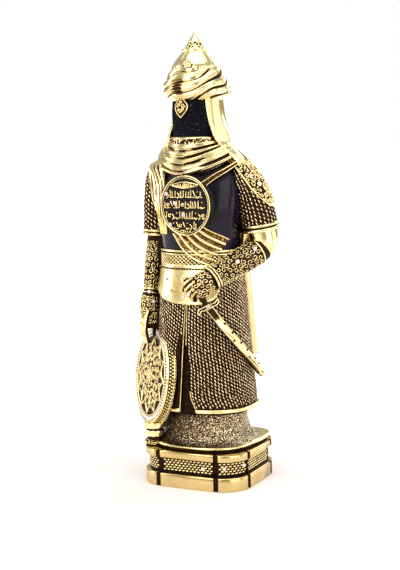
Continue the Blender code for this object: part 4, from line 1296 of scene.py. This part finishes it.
def make_sashes():
    outer = (
        (-33.4, 0.5, 216.0), (-35.8, -5.2, 213.6), (-35.2, -8.8, 208.0), (-33.6, -10.8, 200.0),
        (-27.4, -19.2, 191.3), (-22.0, -24.2, 184.0), (-20.6, -24.0, 176.0), (-19.6, -23.0, 168.4),
    )
    middle = (
        (-29.0, -6.0, 216.8), (-31.0, -11.8, 212.6), (-26.2, -17.4, 207.4), (-22.6, -21.6, 201.0),
        (-21.4, -23.4, 192.4), (-19.4, -24.6, 184.0), (-18.8, -24.4, 176.0), (-18.0, -23.4, 168.4),
    )
    inner = (
        (-22.0, -16.0, 216.0), (-20.4, -20.6, 213.0), (-18.4, -23.0, 207.0), (-16.4, -24.4, 200.5),
        (-15.6, -25.2, 192.0), (-15.6, -25.2, 184.0), (-16.0, -24.6, 176.0), (-16.4, -23.4, 168.4),
    )

    def draped(u, v, lift=0.0):
        u, v = np.broadcast_arrays(u, v)
        first, half, last = (path_at(path, v) for path in (outer, middle, inner))
        share = u[..., None]
        point = first * (1 - share) * (1 - 2 * share) + half * 4 * share * (1 - share)
        point = point + last * share * (2 * share - 1)
        out = unit(stack(point[..., 0] * 0.7, point[..., 1] + 3.0, 4.0 + 0 * point[..., 0]))
        return point + out * np.asarray(lift)[..., None]

    pleated("shoulder_sash", draped, 4, 90, 64, 1.3, 3.4, GILT, 0.1, 0.6)
    top = ((0.0, 20.0, 175.5), (1.0, 34.0, 171.0), (2.0, 47.0, 168.0), (3.0, 58.0, 165.4))
    bottom = ((0.0, -18.0, 169.5), (1.0, -8.0, 160.2), (2.0, 7.0, 153.2), (3.0, 29.0, 148.4))

    def waist_sash(u, v, lift=0.0):
        first, last = spline(top, 3.0 * v), spline(bottom, 3.0 * v)
        return body(first[0] + (last[0] - first[0]) * u, first[1] + (last[1] - first[1]) * u, lift + 1.2)

    pleated("waist_sash", waist_sash, 5, 110, 50, 1.7, 4.0, SATIN_GILT, 0.46, 0.2)
    strap = Piece("disc_strap", SATIN_GILT)
    course = ((12.4, -26.8, 201.2), (18.2, -22.4, 206.2), (24.6, -17.4, 210.6), (29.4, -11.0, 214.8))
    line = path_at(course, np.linspace(0, 1, 24))
    strap.tube(line, 1.7, 12, flat=0.75, gilt=0.36).done()
    out = outward(line)
    side = unit(np.cross(unit(np.gradient(line, axis=0)), out))
    half = np.linspace(1.6, 1.0, 24)[:, None]
    draw_wires("strap_edges", [line + side * half + out, line - side * half + out], 0.42, WIRE_GILT)


# Arms


def make_sleeve(name, stations, width, length, top, bottom):
    sleeve = limb(stations)
    Piece(name + "_ground", MAIL_GROUND).round_wall(sleeve, 96, 40, gilt=0.0).done()
    part = part_of(sleeve, top, bottom - top)
    mail(
        name + "_mail", part, width, length, slant=-58.0, seed=8.0, pitch=(2.4, 2.6), size=(1.75, 0.56, 0.66),
    )


def hem_bands(name, stations, shares, sizes):
    surface = limb(stations)
    bands = Piece(name, GILT)
    u = np.linspace(0, 1, 64, endpoint=False)
    for share, size in zip(shares, sizes):
        bands.tube(surface(u, np.full(64, share), 0.35), size, 8, closed=True)
    bands.done()


def make_scrolled(name, finish, stations, mesh, gilt, part, area, pitch, seed, wire):
    """Limb with scrolls on part of its length: a first share and a span. mesh is columns and rows."""
    surface = limb(stations)
    Piece(name, finish).round_wall(surface, *mesh, gilt=gilt).done()
    draw_wires(name + "_scrolls", scroll_lines(part_of(surface, *part), *area, pitch, seed), wire, WIRE_GILT)


def make_fingers(name, knuckles, across, spread_from, spread_to, out, thick, gilt=0.45):
    """Four fingers side by side over a grip, each a bar along the knuckles' path."""
    piece = Piece(name, GILT)
    out = np.array(out) / np.linalg.norm(out)
    across = np.array(across)
    lines = []
    sides = 10
    bare = 0.1 + gilt * smooth(0.2, 0.95, np.sin(2 * np.pi * np.arange(sides) / sides))
    for k in range(4):
        offset = across * (spread_from + (spread_to - spread_from) * (k + 0.5) / 4)
        path = path_at([np.array(point) + offset for point in knuckles], np.linspace(0, 1, 18))
        radius = thick * np.interp(np.linspace(0, 1, 18), (0, 0.5, 1), (1.0, 1.04, 0.9))
        piece.tube(path, radius, sides, gilt=np.broadcast_to(bare, (18, sides)), out=out)
        along = unit(path[9] - path[8])
        side = unit(np.cross(out, along))
        for share in (0.2, 0.5, 0.8):
            centre = path[int(share * 17)] + out * thick
            spin = np.linspace(0, 2 * np.pi * 0.9, 9)[:, None] + k
            lines.append(centre + 0.95 * np.cos(spin) * side + 0.95 * np.sin(spin) * along)
    piece.done()
    draw_wires(name + "_scrolls", lines, 0.3, WIRE_GILT)


def make_arm_web():
    """Dark casting between the lowered arm and the coat."""
    stations = (
        (-30.4, 0.0, 172.0, 5.0), (-31.0, -2.0, 140.0, 4.9), (-32.0, -6.0, 113.0, 5.4),
        (-31.0, -11.0, 97.0, 4.4),
    )
    Piece("arm_web", PATINA_FINISH).round_wall(limb(stations), 24, 16).done()


def make_right_arm():
    make_arm_web()
    make_sleeve("right_sleeve", RIGHT_SLEEVE, 54.0, 44.0, 0.08, 0.93)
    hem_bands("right_hems", RIGHT_SLEEVE, (0.945, 0.992), (0.85, 0.95))
    make_scrolled(
        "right_forearm", CLOTH_GILT, RIGHT_FOREARM, (72, 40), 0.0, (0.16, 0.7), (36.0, 31.0), 3.3, 11, 0.31,
    )
    hem_bands("right_cuffs", RIGHT_FOREARM, (0.86, 0.93), (0.6, 0.75))
    make_scrolled("right_hand", GILT, RIGHT_HAND, (56, 26), 0.3, (0.08, 0.8), (32.0, 19.0), 3.0, 12, 0.4)
    a = math.radians(SHIELD_AZIMUTH)
    knuckles = ((-37.4, -14.0, 116.0), (-38.0, -17.4, 109.0), (-37.6, -19.6, 102.0), (-36.4, -18.6, 94.0))
    out = (math.sin(a), -math.cos(a), 0.25)
    make_fingers("right_fingers", knuckles, (math.cos(a), math.sin(a), 0), -5.0, 5.0, out, 1.5, 0.9)


def make_left_arm():
    make_sleeve("left_sleeve", LEFT_SLEEVE, 66.0, 42.0, 0.1, 0.93)
    hem_bands("left_hems", LEFT_SLEEVE, (0.93, 0.99), (0.9, 1.1))

    def pleat(u):
        """1 in a pleat's dark crease on the elbow's inner side."""
        inner = 1 - smooth(0.0, 0.16, np.minimum(np.abs(u - 0.5), np.abs(u + 0.5)))
        return inner * (1 - smooth(0.1, 0.5, np.abs(np.sin(np.pi * 16 * u))))

    elbow, surface = Piece("left_elbow", GILT), limb(LEFT_ELBOW)
    elbow.round_wall(surface, 128, 40, lambda u, v: -0.5 * pleat(u), lambda u, v: 1.0 - 0.9 * pleat(u)).done()
    make_scrolled(
        "left_vambrace", CLOTH_GILT, LEFT_FOREARM, (80, 44), 0.0, (0.14, 0.72), (52.0, 30.0), 3.5, 13, 0.3,
    )
    hem_bands("left_cuffs", LEFT_FOREARM, (0.12, 0.9, 0.97), (0.55, 0.6, 0.75))
    make_scrolled("left_hand", GILT, LEFT_HAND, (64, 30), 0.1, (0.06, 0.84), (46.0, 15.0), 3.3, 14, 0.36)
    knuckles = ((12.0, -35.6, 138.4), (8.4, -38.2, 135.2), (6.2, -38.2, 132.0), (6.6, -35.8, 129.6))
    make_fingers("left_fingers", knuckles, (0.72, 0.16, -0.66), -6.3, 5.7, (-0.35, -0.93, -0.1), 1.75, 0.5)


def shoulder(u, v, lift=0.0):
    """Shoulder plate: u across it from front to back, v from its point on the arm up to the neck."""
    rows = (
        (0.0, 22.0, -2.6, 219.5, 8.5, 60.0), (0.3, 33.0, -1.0, 215.5, 10.5, 78.0),
        (0.55, 41.2, 0.6, 206.0, 11.4, 78.0), (0.8, 46.4, 2.2, 195.0, 12.2, 58.0),
        (1.0, 49.4, 3.2, 186.2, 12.6, 22.0),
    )
    u, v = np.broadcast_arrays(np.asarray(u, float), np.asarray(v, float))
    x, y, z, radius, half_angle = spline(rows, 1.0 - v)
    a = np.radians((1 - 2 * u) * half_angle)
    down = spline(((0.0, 0.25), (0.4, 0.7), (1.0, 1.0)), 1.0 - v)[0]
    inwards = (radius + lift) * (1 - np.cos(a)) - lift
    return stack(x - inwards * down, y - (radius + lift) * np.sin(a), z - inwards * (1 - down))


def make_pauldron():
    def border(u, v):
        return np.minimum(np.minimum(u, 1 - u), v)

    def rim(u, v):
        return 0.5 * (1 - smooth(0.02, 0.05, border(u, v)))

    def bare(u, v):
        return 1 - smooth(0.03, 0.06, border(u, v))

    Piece("pauldron_plate", GILT).wall(shoulder, 80, 60, 2.6, rim, bare, 0.2).done()

    def medallion(u0, v0, wide, tall, turns):
        t = np.linspace(0, 2 * np.pi, 30)
        made = [
            shoulder(u0 + wide * np.cos(t) * size, v0 + tall * np.sin(t) * size, 0.55) for size in (1.0, 0.82)
        ]
        s = np.linspace(0, 1, 11)
        for k in range(turns):
            a0 = 2 * np.pi * k / turns
            spin = a0 + 2 * np.pi * 1.1 * s
            reach = 0.28 * (1 - 0.75 * s)
            across, up = 0.42 * np.cos(a0) + reach * np.cos(spin), 0.42 * np.sin(a0) + reach * np.sin(spin)
            made.append(shoulder(u0 + wide * across, v0 + tall * up, 0.6))
        return made

    def clear(u, v):
        upper = ((u - 0.5) / 0.24) ** 2 + ((v - 0.56) / 0.21) ** 2
        lower = ((u - 0.5) / 0.2) ** 2 + ((v - 0.27) / 0.12) ** 2
        return upper > 1 and lower > 1

    def inner(u, v, lift=0.0):
        return shoulder(0.05 + 0.9 * u, 0.05 + 0.9 * v, lift)

    lines = scroll_lines(inner, 34.0, 42.0, 4.3, 15, 0.3, clear)
    lines += medallion(0.5, 0.56, 0.19, 0.165, 6) + medallion(0.5, 0.27, 0.15, 0.085, 4)
    draw_wires("pauldron_scrolls", lines, 0.4, WIRE_GILT)


# Sword, shield, post and cape


def frames(path):
    """Along, flat-wise and outward directions of a flat bar that lies against the coat."""
    along = unit(np.gradient(path, axis=0))
    out = square_to(outward(path), along)
    return along, np.cross(out, along), out


def make_sword():
    t = np.linspace(0, 1, 60)
    path = path_at(BLADE, t)
    along, side, out = frames(path)
    half, thick = 2.5, 1.9
    shape = np.array((
        (-1.0, -1.0), (-1.0, 0.6), (-0.9, 1.0), (-0.72, 0.84),
        (0.72, 0.84), (0.9, 1.0), (1.0, 0.6), (1.0, -1.0),
    ))
    narrowing = np.interp(t, (0, 0.9, 1.0), (1.0, 0.94, 0.2))[:, None, None]
    across, up = shape[None, :, :1] * side[:, None], shape[None, :, 1:] * out[:, None]
    grid = path[:, None] + half * narrowing * across + thick * up
    piece = Piece("scabbard", POLISHED_GILT)
    # Browner down the middle near the hilt; the two back corners against the coat are painted shade, which
    # darkens the scabbard's side faces.
    brown = 1.0 - 0.62 * (1 - smooth(0.12, 0.24, t))
    gilt_tone = np.ones((60, 8))
    gilt_tone[:, 3:5] = brown[:, None]
    gilt_tone[:, 0] = gilt_tone[:, 7] = 0.1
    piece.loft(grid, gilt=gilt_tone).done()
    nicks = Piece("scabbard_nicks", PATINA_FINISH)
    for share, across in (
        (0.24, 1.6), (0.36, 1.7), (0.43, -1.2), (0.5, 1.6), (0.6, 1.5), (0.67, -1.0), (0.74, 1.6),
        (0.82, 1.4),
    ):
        i = int(share * 59)
        centre = path[i] + out[i] * 1.7 + side[i] * across
        lean = along[i] * 0.6 * np.sign(across) + side[i]
        path_across = centre + np.linspace(-0.95, 0.95, 5)[:, None] * unit(lean)
        nicks.tube(path_across, np.array([0.1, 0.7, 1.0, 0.7, 0.1]), 6, out=out[i], flat=0.5)
    nicks.done()
    pommel = Piece("pommel", GILT)
    a = np.linspace(0, 2 * np.pi, 40, endpoint=False)
    wide, tall = 2.3 * np.array((0.95, 0.3, 0)), 1.8 * np.array((0, 0.15, 1.0))
    ring = np.array(POMMEL) + np.cos(a)[:, None] * wide + np.sin(a)[:, None] * tall
    pommel.tube(ring, 0.6, 8, closed=True, out=(0.3, -1.0, 0)).done()
    Piece("grip", GILT).tube(np.linspace(POMMEL, BLADE[0], 20), 1.6, 12, gilt=0.35).done()
    guard = Piece("guard", GILT)
    run = unit(side[0] * 0.966 + along[0] * 0.26)
    cross = unit(np.cross(out[0], run))
    outline = (
        (0.0, 1.5), (3.0, 1.1), (5.4, 1.0), (7.2, 2.6), (7.9, 1.6), (6.2, -0.6), (3.0, -0.9), (0.0, -1.4),
    )
    for hand in (-1, 1):
        rim = [path[0] + hand * (run * x + cross * y) + out[0] * 1.6 for x, y in outline]
        guard.tube(path_at(rim, np.linspace(0, 1, 40)), 0.4, 7, out=out[0])
    guard.done()
    line = path[0] + np.linspace(-6.2, 6.2, 14)[:, None] * run + out[0] * 0.9
    Piece("guard_ground", PATINA_FINISH).tube(line, 0.95, 8, out=out[0], flat=0.6).done()


def shield_axes():
    """The shield's own directions: across it to the figure's left, up it, and out of its face."""
    a, lean = math.radians(SHIELD_AZIMUTH), math.radians(SHIELD_LEAN)
    up = (-math.sin(a) * math.sin(lean), math.cos(a) * math.sin(lean), math.cos(lean))
    out = (math.sin(a) * math.cos(lean), -math.cos(a) * math.cos(lean), math.sin(lean))
    return np.array(((math.cos(a), math.sin(a), 0.0), up, out))


def on_shield(across, up, lift=0.0):
    """Point on the shield's face: across is positive towards the figure's left."""
    across, up, depth = np.broadcast_arrays(
        np.asarray(across, float), np.asarray(up, float), SHIELD_HALF_THICKNESS + np.asarray(lift, float)
    )
    return np.array(SHIELD_CENTRE) + np.stack([across, up, depth], -1) @ shield_axes()


def around_shield(radius, angle, height=0.0):
    """Points at a radius and angle about the shield's axis."""
    return on_shield(radius * np.cos(angle), radius * np.sin(angle), height)


def shield_turned(profile):
    """Surface turned about the shield's axis through (radius, height above its face) stations."""
    rows = evenly(profile)

    def surface(u, v, lift=0.0):
        radius, height = spline(rows, v)
        return around_shield(radius + lift, 2 * np.pi * u, height)

    return surface


def shield_height(radius):
    """Height of the shield's domed field at a radius."""
    return np.interp(radius, (0.0, 9.0, 20.0, SHIELD_RADIUS - 6.2), (1.6, 1.2, 0.5, 0.2))


def scallop(angle):
    """Radius of the scalloped edge between the shield's dark inlays and its filigree."""
    return SHIELD_RADIUS - 6.4 - 5.0 * np.abs(np.sin(6.0 * np.asarray(angle))) ** 0.8


def make_shield():
    r = SHIELD_RADIUS
    inner = r - 6.2
    surface = shield_turned((
        (0.05, 1.6), (9.0, 1.2), (20.0, 0.5), (inner, 0.2), (inner + 0.4, 0.5), (r - 4.8, 0.3),
        (r - 1.6, 0.3), (r - 1.0, 0.6), (r - 0.3, 0.3), (r, -0.3), (r - 0.5, -1.0), (r - 0.5, -3.9),
        (r, -4.4), (r - 0.9, -4.9), (0.1, -4.9),
    ))

    def gilt_tone(u, v):
        reach = np.linalg.norm(surface(u, v) - np.array(SHIELD_CENTRE), axis=-1)
        side_wall = (v > 0.68) & (v < 0.82)
        inlay = (reach > scallop(2 * np.pi * u)) & (reach < r - 5.9)
        face = np.where(inlay, 0.0, np.where(reach < inner, 0.22, 0.08))
        return np.where(v > 0.97, 0.5, np.where(reach < r - 1.6, face, np.where(side_wall, 0.12, 1.0)))

    Piece("shield", GILT).round_wall(surface, 300, 150, gilt=gilt_tone).done()
    rings = Piece("shield_rings", GILT)
    a = np.linspace(0, 2 * np.pi, 120, endpoint=False)
    for radius, size, height in (
        (r - 0.8, 0.62, 0.4), (r - 5.4, 0.5, 0.5), (3.9, 0.4, 1.6), (r - 0.3, 0.5, -4.5),
    ):
        rings.tube(around_shield(radius, a, height), size, 8, closed=True, out=shield_axes()[2])
    rings.done()
    make_shield_border()
    make_shield_filigree()
    boss = shield_turned(((0.02, 2.6), (0.9, 2.5), (1.7, 2.0), (2.0, 1.4), (0.1, 1.0)))
    Piece("shield_boss", GILT).round_wall(boss, 32, 14).done()


def make_shield_border():
    """Beads round the shield's face and two rows of knops round its edge."""
    facing = shield_axes()[2]
    radius, count = SHIELD_RADIUS - 3.1, 90
    a = 2 * np.pi * (np.arange(count) + 0.5) / count
    beads = around_shield(radius, a, 0.3)
    along = around_shield(radius, a + 0.01, 0.3) - beads
    sizes = {"Length": 0.66, "Width": 1.9, "Height": 0.85}
    set_forms("shield_beads", BEAD, sizes, PALE_BEADS, beads, np.tile(facing, (count, 1)), along)
    radius, count = SHIELD_RADIUS - 0.5, 176
    a = 2 * np.pi * np.arange(count) / count
    height = np.where(np.arange(count) % 2, -1.75, -3.3)
    knops = around_shield(radius, a, height)
    along = around_shield(radius, a + 0.01, height) - knops + facing * 0.2
    sizes = {"Length": 1.0, "Width": 0.72, "Height": 0.66}
    out = unit(knops - on_shield(0 * a, 0 * a, height))
    set_forms("shield_edge_knops", GRAIN, sizes, SCALE_GILT, knops, out, along)


def make_shield_filigree():
    """Scalloped edge, scrolls and leaves on the shield's field."""

    def drawn(x, y, lift=0.15):
        return on_shield(x, y, shield_height(np.hypot(x, y)) + lift)

    def drawn_round(reach, angle, lift):
        return drawn(reach * np.cos(angle), reach * np.sin(angle), lift)

    t = np.linspace(0, 1, 12)
    edge = np.linspace(0, 2 * np.pi, 361)
    fine = [drawn_round(scallop(edge) - 1.5, edge, 0.3)]
    for count, radius, size in ((15, 18.9, 1.95), (15, 14.9, 1.75), (12, 11.1, 1.6), (8, 7.4, 1.5)):
        for k in range(count):
            for hand in (-1, 1):
                a0 = 2 * math.pi * (k + 0.5 * (radius > 18)) / count + hand * size * 0.62 / radius
                spin = a0 + math.pi + hand * 2 * np.pi * 0.95 * t
                reach = size * (1 - 0.72 * t)
                x, y = reach * np.cos(spin), reach * np.sin(spin)
                fine.append(drawn(radius * math.cos(a0) + x, radius * math.sin(a0) + y))
    for k in range(12):
        for bend in (-1, 1):
            angle = 2 * math.pi * (k + 0.5) / 12 + bend * 0.1 * np.sin(np.pi * t)
            fine.append(drawn_round(11.0 + 9.4 * t, angle, 0.1))
    for k in range(8):
        for bend in (-1, 1):
            angle = 2 * math.pi * k / 8 + bend * 0.42 * np.sin(np.pi * t)
            fine.append(drawn_round(1.0 + 5.6 * t, angle, 0.2))
    draw_wires("shield_scallops", [drawn_round(scallop(edge), edge, 0.3)], 0.55, WIRE_GILT)
    draw_wires("shield_filigree", fine, 0.36, WIRE_GILT)


def make_post():
    profile = (
        (24.95, 6.0), (24.95, 6.9), (26.6, 6.9), (28.0, 6.8), (28.4, 6.2), (28.8, 5.2), (30.2, 5.2),
        (30.6, 5.9), (31.2, 6.2), (34.2, 6.2), (34.7, 5.8), (35.0, 5.3), (35.5, 5.4), (36.3, 6.9),
        (37.0, 7.3), (39.6, 7.3), (40.4, 6.9), (41.2, 5.0), (41.6, 0.1),
    )
    surface = turned_surface(profile, *POST_CENTRE)
    piece = Piece("post", GILT)

    def bare(u, v):
        z = surface(u, v)[..., 2]
        dark = ((z > 28.5) & (z < 30.4)) | ((z > 34.7) & (z < 35.9))
        return np.where(dark, 0.0, np.where(z < 28.2, 0.15, 1.0))

    piece.round_wall(surface, 72, 110, gilt=bare).done()

    def drum(u, v, lift=0.0):
        a = 360.0 * u
        x, y = oval(a, 6.9 + lift, 6.9 + lift)
        return stack(POST_CENTRE[0] + x, POST_CENTRE[1] + y, 25.2 + 2.8 * v)

    draw_wires("post_scrolls", scroll_lines(drum, 43.0, 2.8, 2.2, 16, 0.1), 0.34, WIRE_GILT)


def cape(u, v, lift=0.0):
    u, v = np.broadcast_arrays(np.asarray(u, float), np.asarray(v, float))
    z = 86.0 + 128.0 * v
    edge = spline(((0.0, 113.0), (0.5, 106.0), (0.8, 100.0), (1.0, 96.0)), v)[0]
    azimuth = edge + (360.0 - 2 * edge) * u
    fold = (1.5 - 0.9 * v) * np.cos(np.radians(9.0 * (azimuth - 180.0)))
    away = spline(((0.0, 5.0), (0.35, 5.0), (0.7, 4.4), (0.9, 3.2), (1.0, 2.4)), v)[0]
    return body(azimuth, z, away + fold + lift)


def make_cape():
    def trim(u, v):
        near = np.minimum(u, 1 - u)
        grain = np.cos(2 * np.pi * 23 * u + 3 * np.sin(5 * v))
        fine = 0.35 * grain * smooth(0.05, 0.14, near) * (1 - 0.6 * v)
        return fine + 0.5 * (1 - smooth(0.0, 0.02, v))

    def bare(u, v):
        edge = 360.0 - 2 * 106.0
        valley = np.cos(np.radians(9.0 * edge * (u - 0.5)))
        folded = 0.42 + 0.58 * smooth(-0.9, 0.0, valley + trim(u, v))
        front = 1 - smooth(0.06, 0.12, np.minimum(u, 1 - u))
        return front + (1 - front) * folded

    Piece("cape", CLOTH_GILT).wall(cape, 180, 90, 7.0, trim, bare, 0.3).done()


# Plinth and stones


def plinth_outline(inset):
    """Plan of a slab: sides and bulging corners parted by notches, and which points are clear of those."""
    half_x, half_y, cut = PLINTH_HALF_WIDTH, PLINTH_HALF_DEPTH, PLINTH_CORNER_CUT
    points, clear = [], []
    for sx, sy in ((1, -1), (1, 1), (-1, 1), (-1, -1)):
        ends = [
            (np.array((sx * (half_x - cut), sy * half_y)), np.array((-sx, 0.0))),
            (np.array((sx * half_x, sy * (half_y - cut))), np.array((0.0, -sy))),
        ]
        if sx * sy > 0:
            ends.reverse()
        (start, back), (end, onwards) = ends
        out = np.array((sx, sy)) / math.sqrt(2)
        length = np.linalg.norm(end - start)
        run = (end - start) / length

        def bulge(share, deep=0.0):
            swell = PLINTH_CORNER_BULGE * (1 - (2 * share - 1) ** 2)
            return start + run * length * share + out * (swell - deep)

        for along, deep in ((1.9, 0.0), (1.4, 0.3), (0.95, 1.1)):
            points.append(start + back * along - out * deep)
        points += [start - out * 1.9, bulge(0.95 / length, 1.1), bulge(1.4 / length, 0.3)]
        clear += [True, False, False, False, False, False]
        for share in np.linspace(1.9 / length, 1 - 1.9 / length, 13):
            points.append(bulge(share))
            clear.append(True)
        points += [bulge(1 - 1.4 / length, 0.3), bulge(1 - 0.95 / length, 1.1), end - out * 1.9]
        for along, deep in ((0.95, 1.1), (1.4, 0.3), (1.9, 0.0)):
            points.append(end + onwards * along - out * deep)
        clear += [False, False, False, False, False, True]
    points = np.array(points)
    return points * (1 - inset / half_x, 1 - inset / half_y), np.array(clear)


def make_plinth():
    slabs = Piece("plinth_slabs", SLAB_GILT, ("plinth",), "gilt_plinth")
    for (low, high), edge in ((LOWER_SLAB, 0.7), (UPPER_SLAB, 0.6)):
        tall = high - low
        rings, shades = [], []
        for z, inset in (
            (0.0, edge), (0.25 * edge, 0.3 * edge), (edge, 0.0), (tall - edge, 0.0),
            (tall - 0.25 * edge, 0.3 * edge), (tall, edge),
        ):
            outline, clear = plinth_outline(inset)
            rings.append(np.column_stack([outline, np.full(len(outline), low + z)]))
            shades.append(np.where(clear, 1.0, 0.3))
        slabs.loft(np.array(rings), gilt=np.array(shades))
    slabs.done()
    outline, clear = plinth_outline(FRIEZE_INSET)
    rings = np.array([np.column_stack([outline, np.full(len(outline), z)]) for z in (8.6, 12.0, 16.0, 20.6)])
    Piece("plinth_frieze", GILT, ("plinth",), "gilt_plinth").loft(rings, gilt=0.12).done()
    lines = np.concatenate([outline, outline[:1]])
    step = np.linalg.norm(np.diff(lines, axis=0), axis=1)
    reach = np.concatenate([[0], np.cumsum(step)])
    rows, columns = 5, int(reach[-1] / 2.75)
    points, outs = [], []
    for row in range(rows):
        for k in range(columns):
            at = (k + 0.5 * (row % 2) + 0.25) * reach[-1] / columns
            i = min(np.searchsorted(reach, at, side="right") - 1, len(step) - 1)
            if not clear[i] or not clear[(i + 1) % len(clear)]:
                continue
            run = lines[i + 1] - lines[i]
            spot = lines[i] + run * (at - reach[i]) / step[i]
            out = np.array((run[1], -run[0], 0.0)) / step[i]
            points.append((*spot, 10.9 + 8.2 * (row + 0.5) / rows))
            outs.append(out)
    outs = np.array(outs)
    right = np.cross((0.0, 0.0, 1.0), outs)
    forms = {"Length": 1.35, "Width": 0.74, "Height": 0.75}
    ridden = {"stands_for": ("plinth",), "slot": "gilt_plinth"}
    set_forms("plinth_scales", GRAIN, forms, SCALE_GILT, points, outs, right + (0, 0, 0.15), **ridden)
    shade = Piece("frieze_shade", PATINA_FINISH, **ridden)
    for z in (9.8, 19.6):
        shade.tube(np.column_stack([outline, np.full(len(outline), z)]), 0.55, 6, closed=True)
    shade.done()


def dress_stones():
    """Gives the CAD's own stones their glass."""
    for obj in bpy.data.objects:
        if obj.type == "MESH" and obj.name.startswith("stone_"):
            obj.data.materials.clear()
            obj.data.materials.append(STONE)


# Studio


def make_floor():
    mesh = bpy.data.meshes.new("studio_floor")
    mesh.from_pydata([(-4, -4, 0), (4, -4, 0), (4, 6, 0), (-4, 6, 0)], [], [(0, 1, 2, 3)])
    made = Finish("studio floor", 0.55)
    place = made.node("ShaderNodeTexCoord")
    split = made.node("ShaderNodeSeparateXYZ", None, {0: place.outputs["Object"]})
    far = made.clamp((Value(made, split.outputs["Y"]) - 0.02) * 3.6)
    cloud = made.noise(9.0)
    made.color(cloud, ((0.3, (0.80, 0.73, 0.72)), (0.7, (0.83, 0.76, 0.75))))
    made.show("Emission Color", made.ramp(far, ((0.0, (0.0, 0.0, 0.0)), (1.0, (1.0, 1.0, 1.0)))))
    made.shader.inputs["Emission Strength"].default_value = 1.0
    mesh.materials.append(made.material)
    floor = bpy.data.objects.new("studio_floor", mesh)
    bpy.context.collection.objects.link(floor)


def set_camera():
    a = math.radians(CAMERA_AZIMUTH)
    place = Vector((CAMERA_DISTANCE * math.sin(a), -CAMERA_DISTANCE * math.cos(a), CAMERA_HEIGHT))
    z = (place - Vector(CAMERA_TARGET)).normalized()
    x = Vector((0, 0, 1)).cross(z).normalized()
    y = z.cross(x)
    roll = Matrix.Rotation(math.radians(CAMERA_ROLL), 3, z)
    x, y = roll @ x, roll @ y
    data = bpy.data.cameras.new("camera")
    data.sensor_fit = "VERTICAL"
    data.sensor_height = 36.0
    data.lens = CAMERA_LENS
    data.shift_x = CAMERA_SHIFT
    data.clip_start, data.clip_end = 0.01, 50.0
    camera = bpy.data.objects.new("camera", data)
    camera.matrix_world = Matrix((
        (x.x, y.x, z.x, place.x), (x.y, y.y, z.y, place.y), (x.z, y.z, z.z, place.z), (0, 0, 0, 1),
    ))
    bpy.context.collection.objects.link(camera)
    bpy.context.scene.camera = camera


def add_light(name, place, target_height, size, power):
    data = bpy.data.lights.new(name, "AREA")
    data.shape = "RECTANGLE"
    data.size, data.size_y = size
    data.energy = power
    light = bpy.data.objects.new(name, data)
    light.location = place
    direction = Vector((0, 0, target_height)) - Vector(place)
    light.rotation_euler = direction.to_track_quat("-Z", "Y").to_euler()
    bpy.context.collection.objects.link(light)


def set_light():
    """White where the camera sees it, and a softer warm surround for the casting to reflect."""
    world = bpy.data.worlds.new("studio")
    world.use_nodes = True
    tree = world.node_tree
    tree.nodes.clear()
    out = tree.nodes.new("ShaderNodeOutputWorld")
    mix = tree.nodes.new("ShaderNodeMixShader")
    path = tree.nodes.new("ShaderNodeLightPath")
    place = tree.nodes.new("ShaderNodeTexCoord")
    split = tree.nodes.new("ShaderNodeSeparateXYZ")
    ramp = tree.nodes.new("ShaderNodeValToRGB")
    seen = tree.nodes.new("ShaderNodeBackground")
    around = tree.nodes.new("ShaderNodeBackground")
    seen.inputs[0].default_value = (1.0, 1.0, 1.0, 1)
    around.inputs[1].default_value = SURROUND_STRENGTH
    set_stops(ramp.color_ramp, SURROUND)
    for start, end in (
        (place.outputs["Generated"], split.inputs[0]), (split.outputs["Z"], ramp.inputs[0]),
        (ramp.outputs[0], around.inputs[0]), (path.outputs["Is Camera Ray"], mix.inputs[0]),
        (around.outputs[0], mix.inputs[1]), (seen.outputs[0], mix.inputs[2]), (mix.outputs[0], out.inputs[0]),
    ):
        tree.links.new(start, end)
    bpy.context.scene.world = world
    bpy.context.scene.view_settings.view_transform = "Standard"
    for light in LIGHTS:
        add_light(*light)


make_foot()
make_coat()
make_belt()
make_apron()
make_cuirass()
make_head()
make_cowl()
make_disc()
make_sashes()
make_right_arm()
make_left_arm()
make_pauldron()
make_sword()
make_shield()
make_post()
make_cape()
make_plinth()
dress_stones()
set_camera()
set_light()
make_floor()
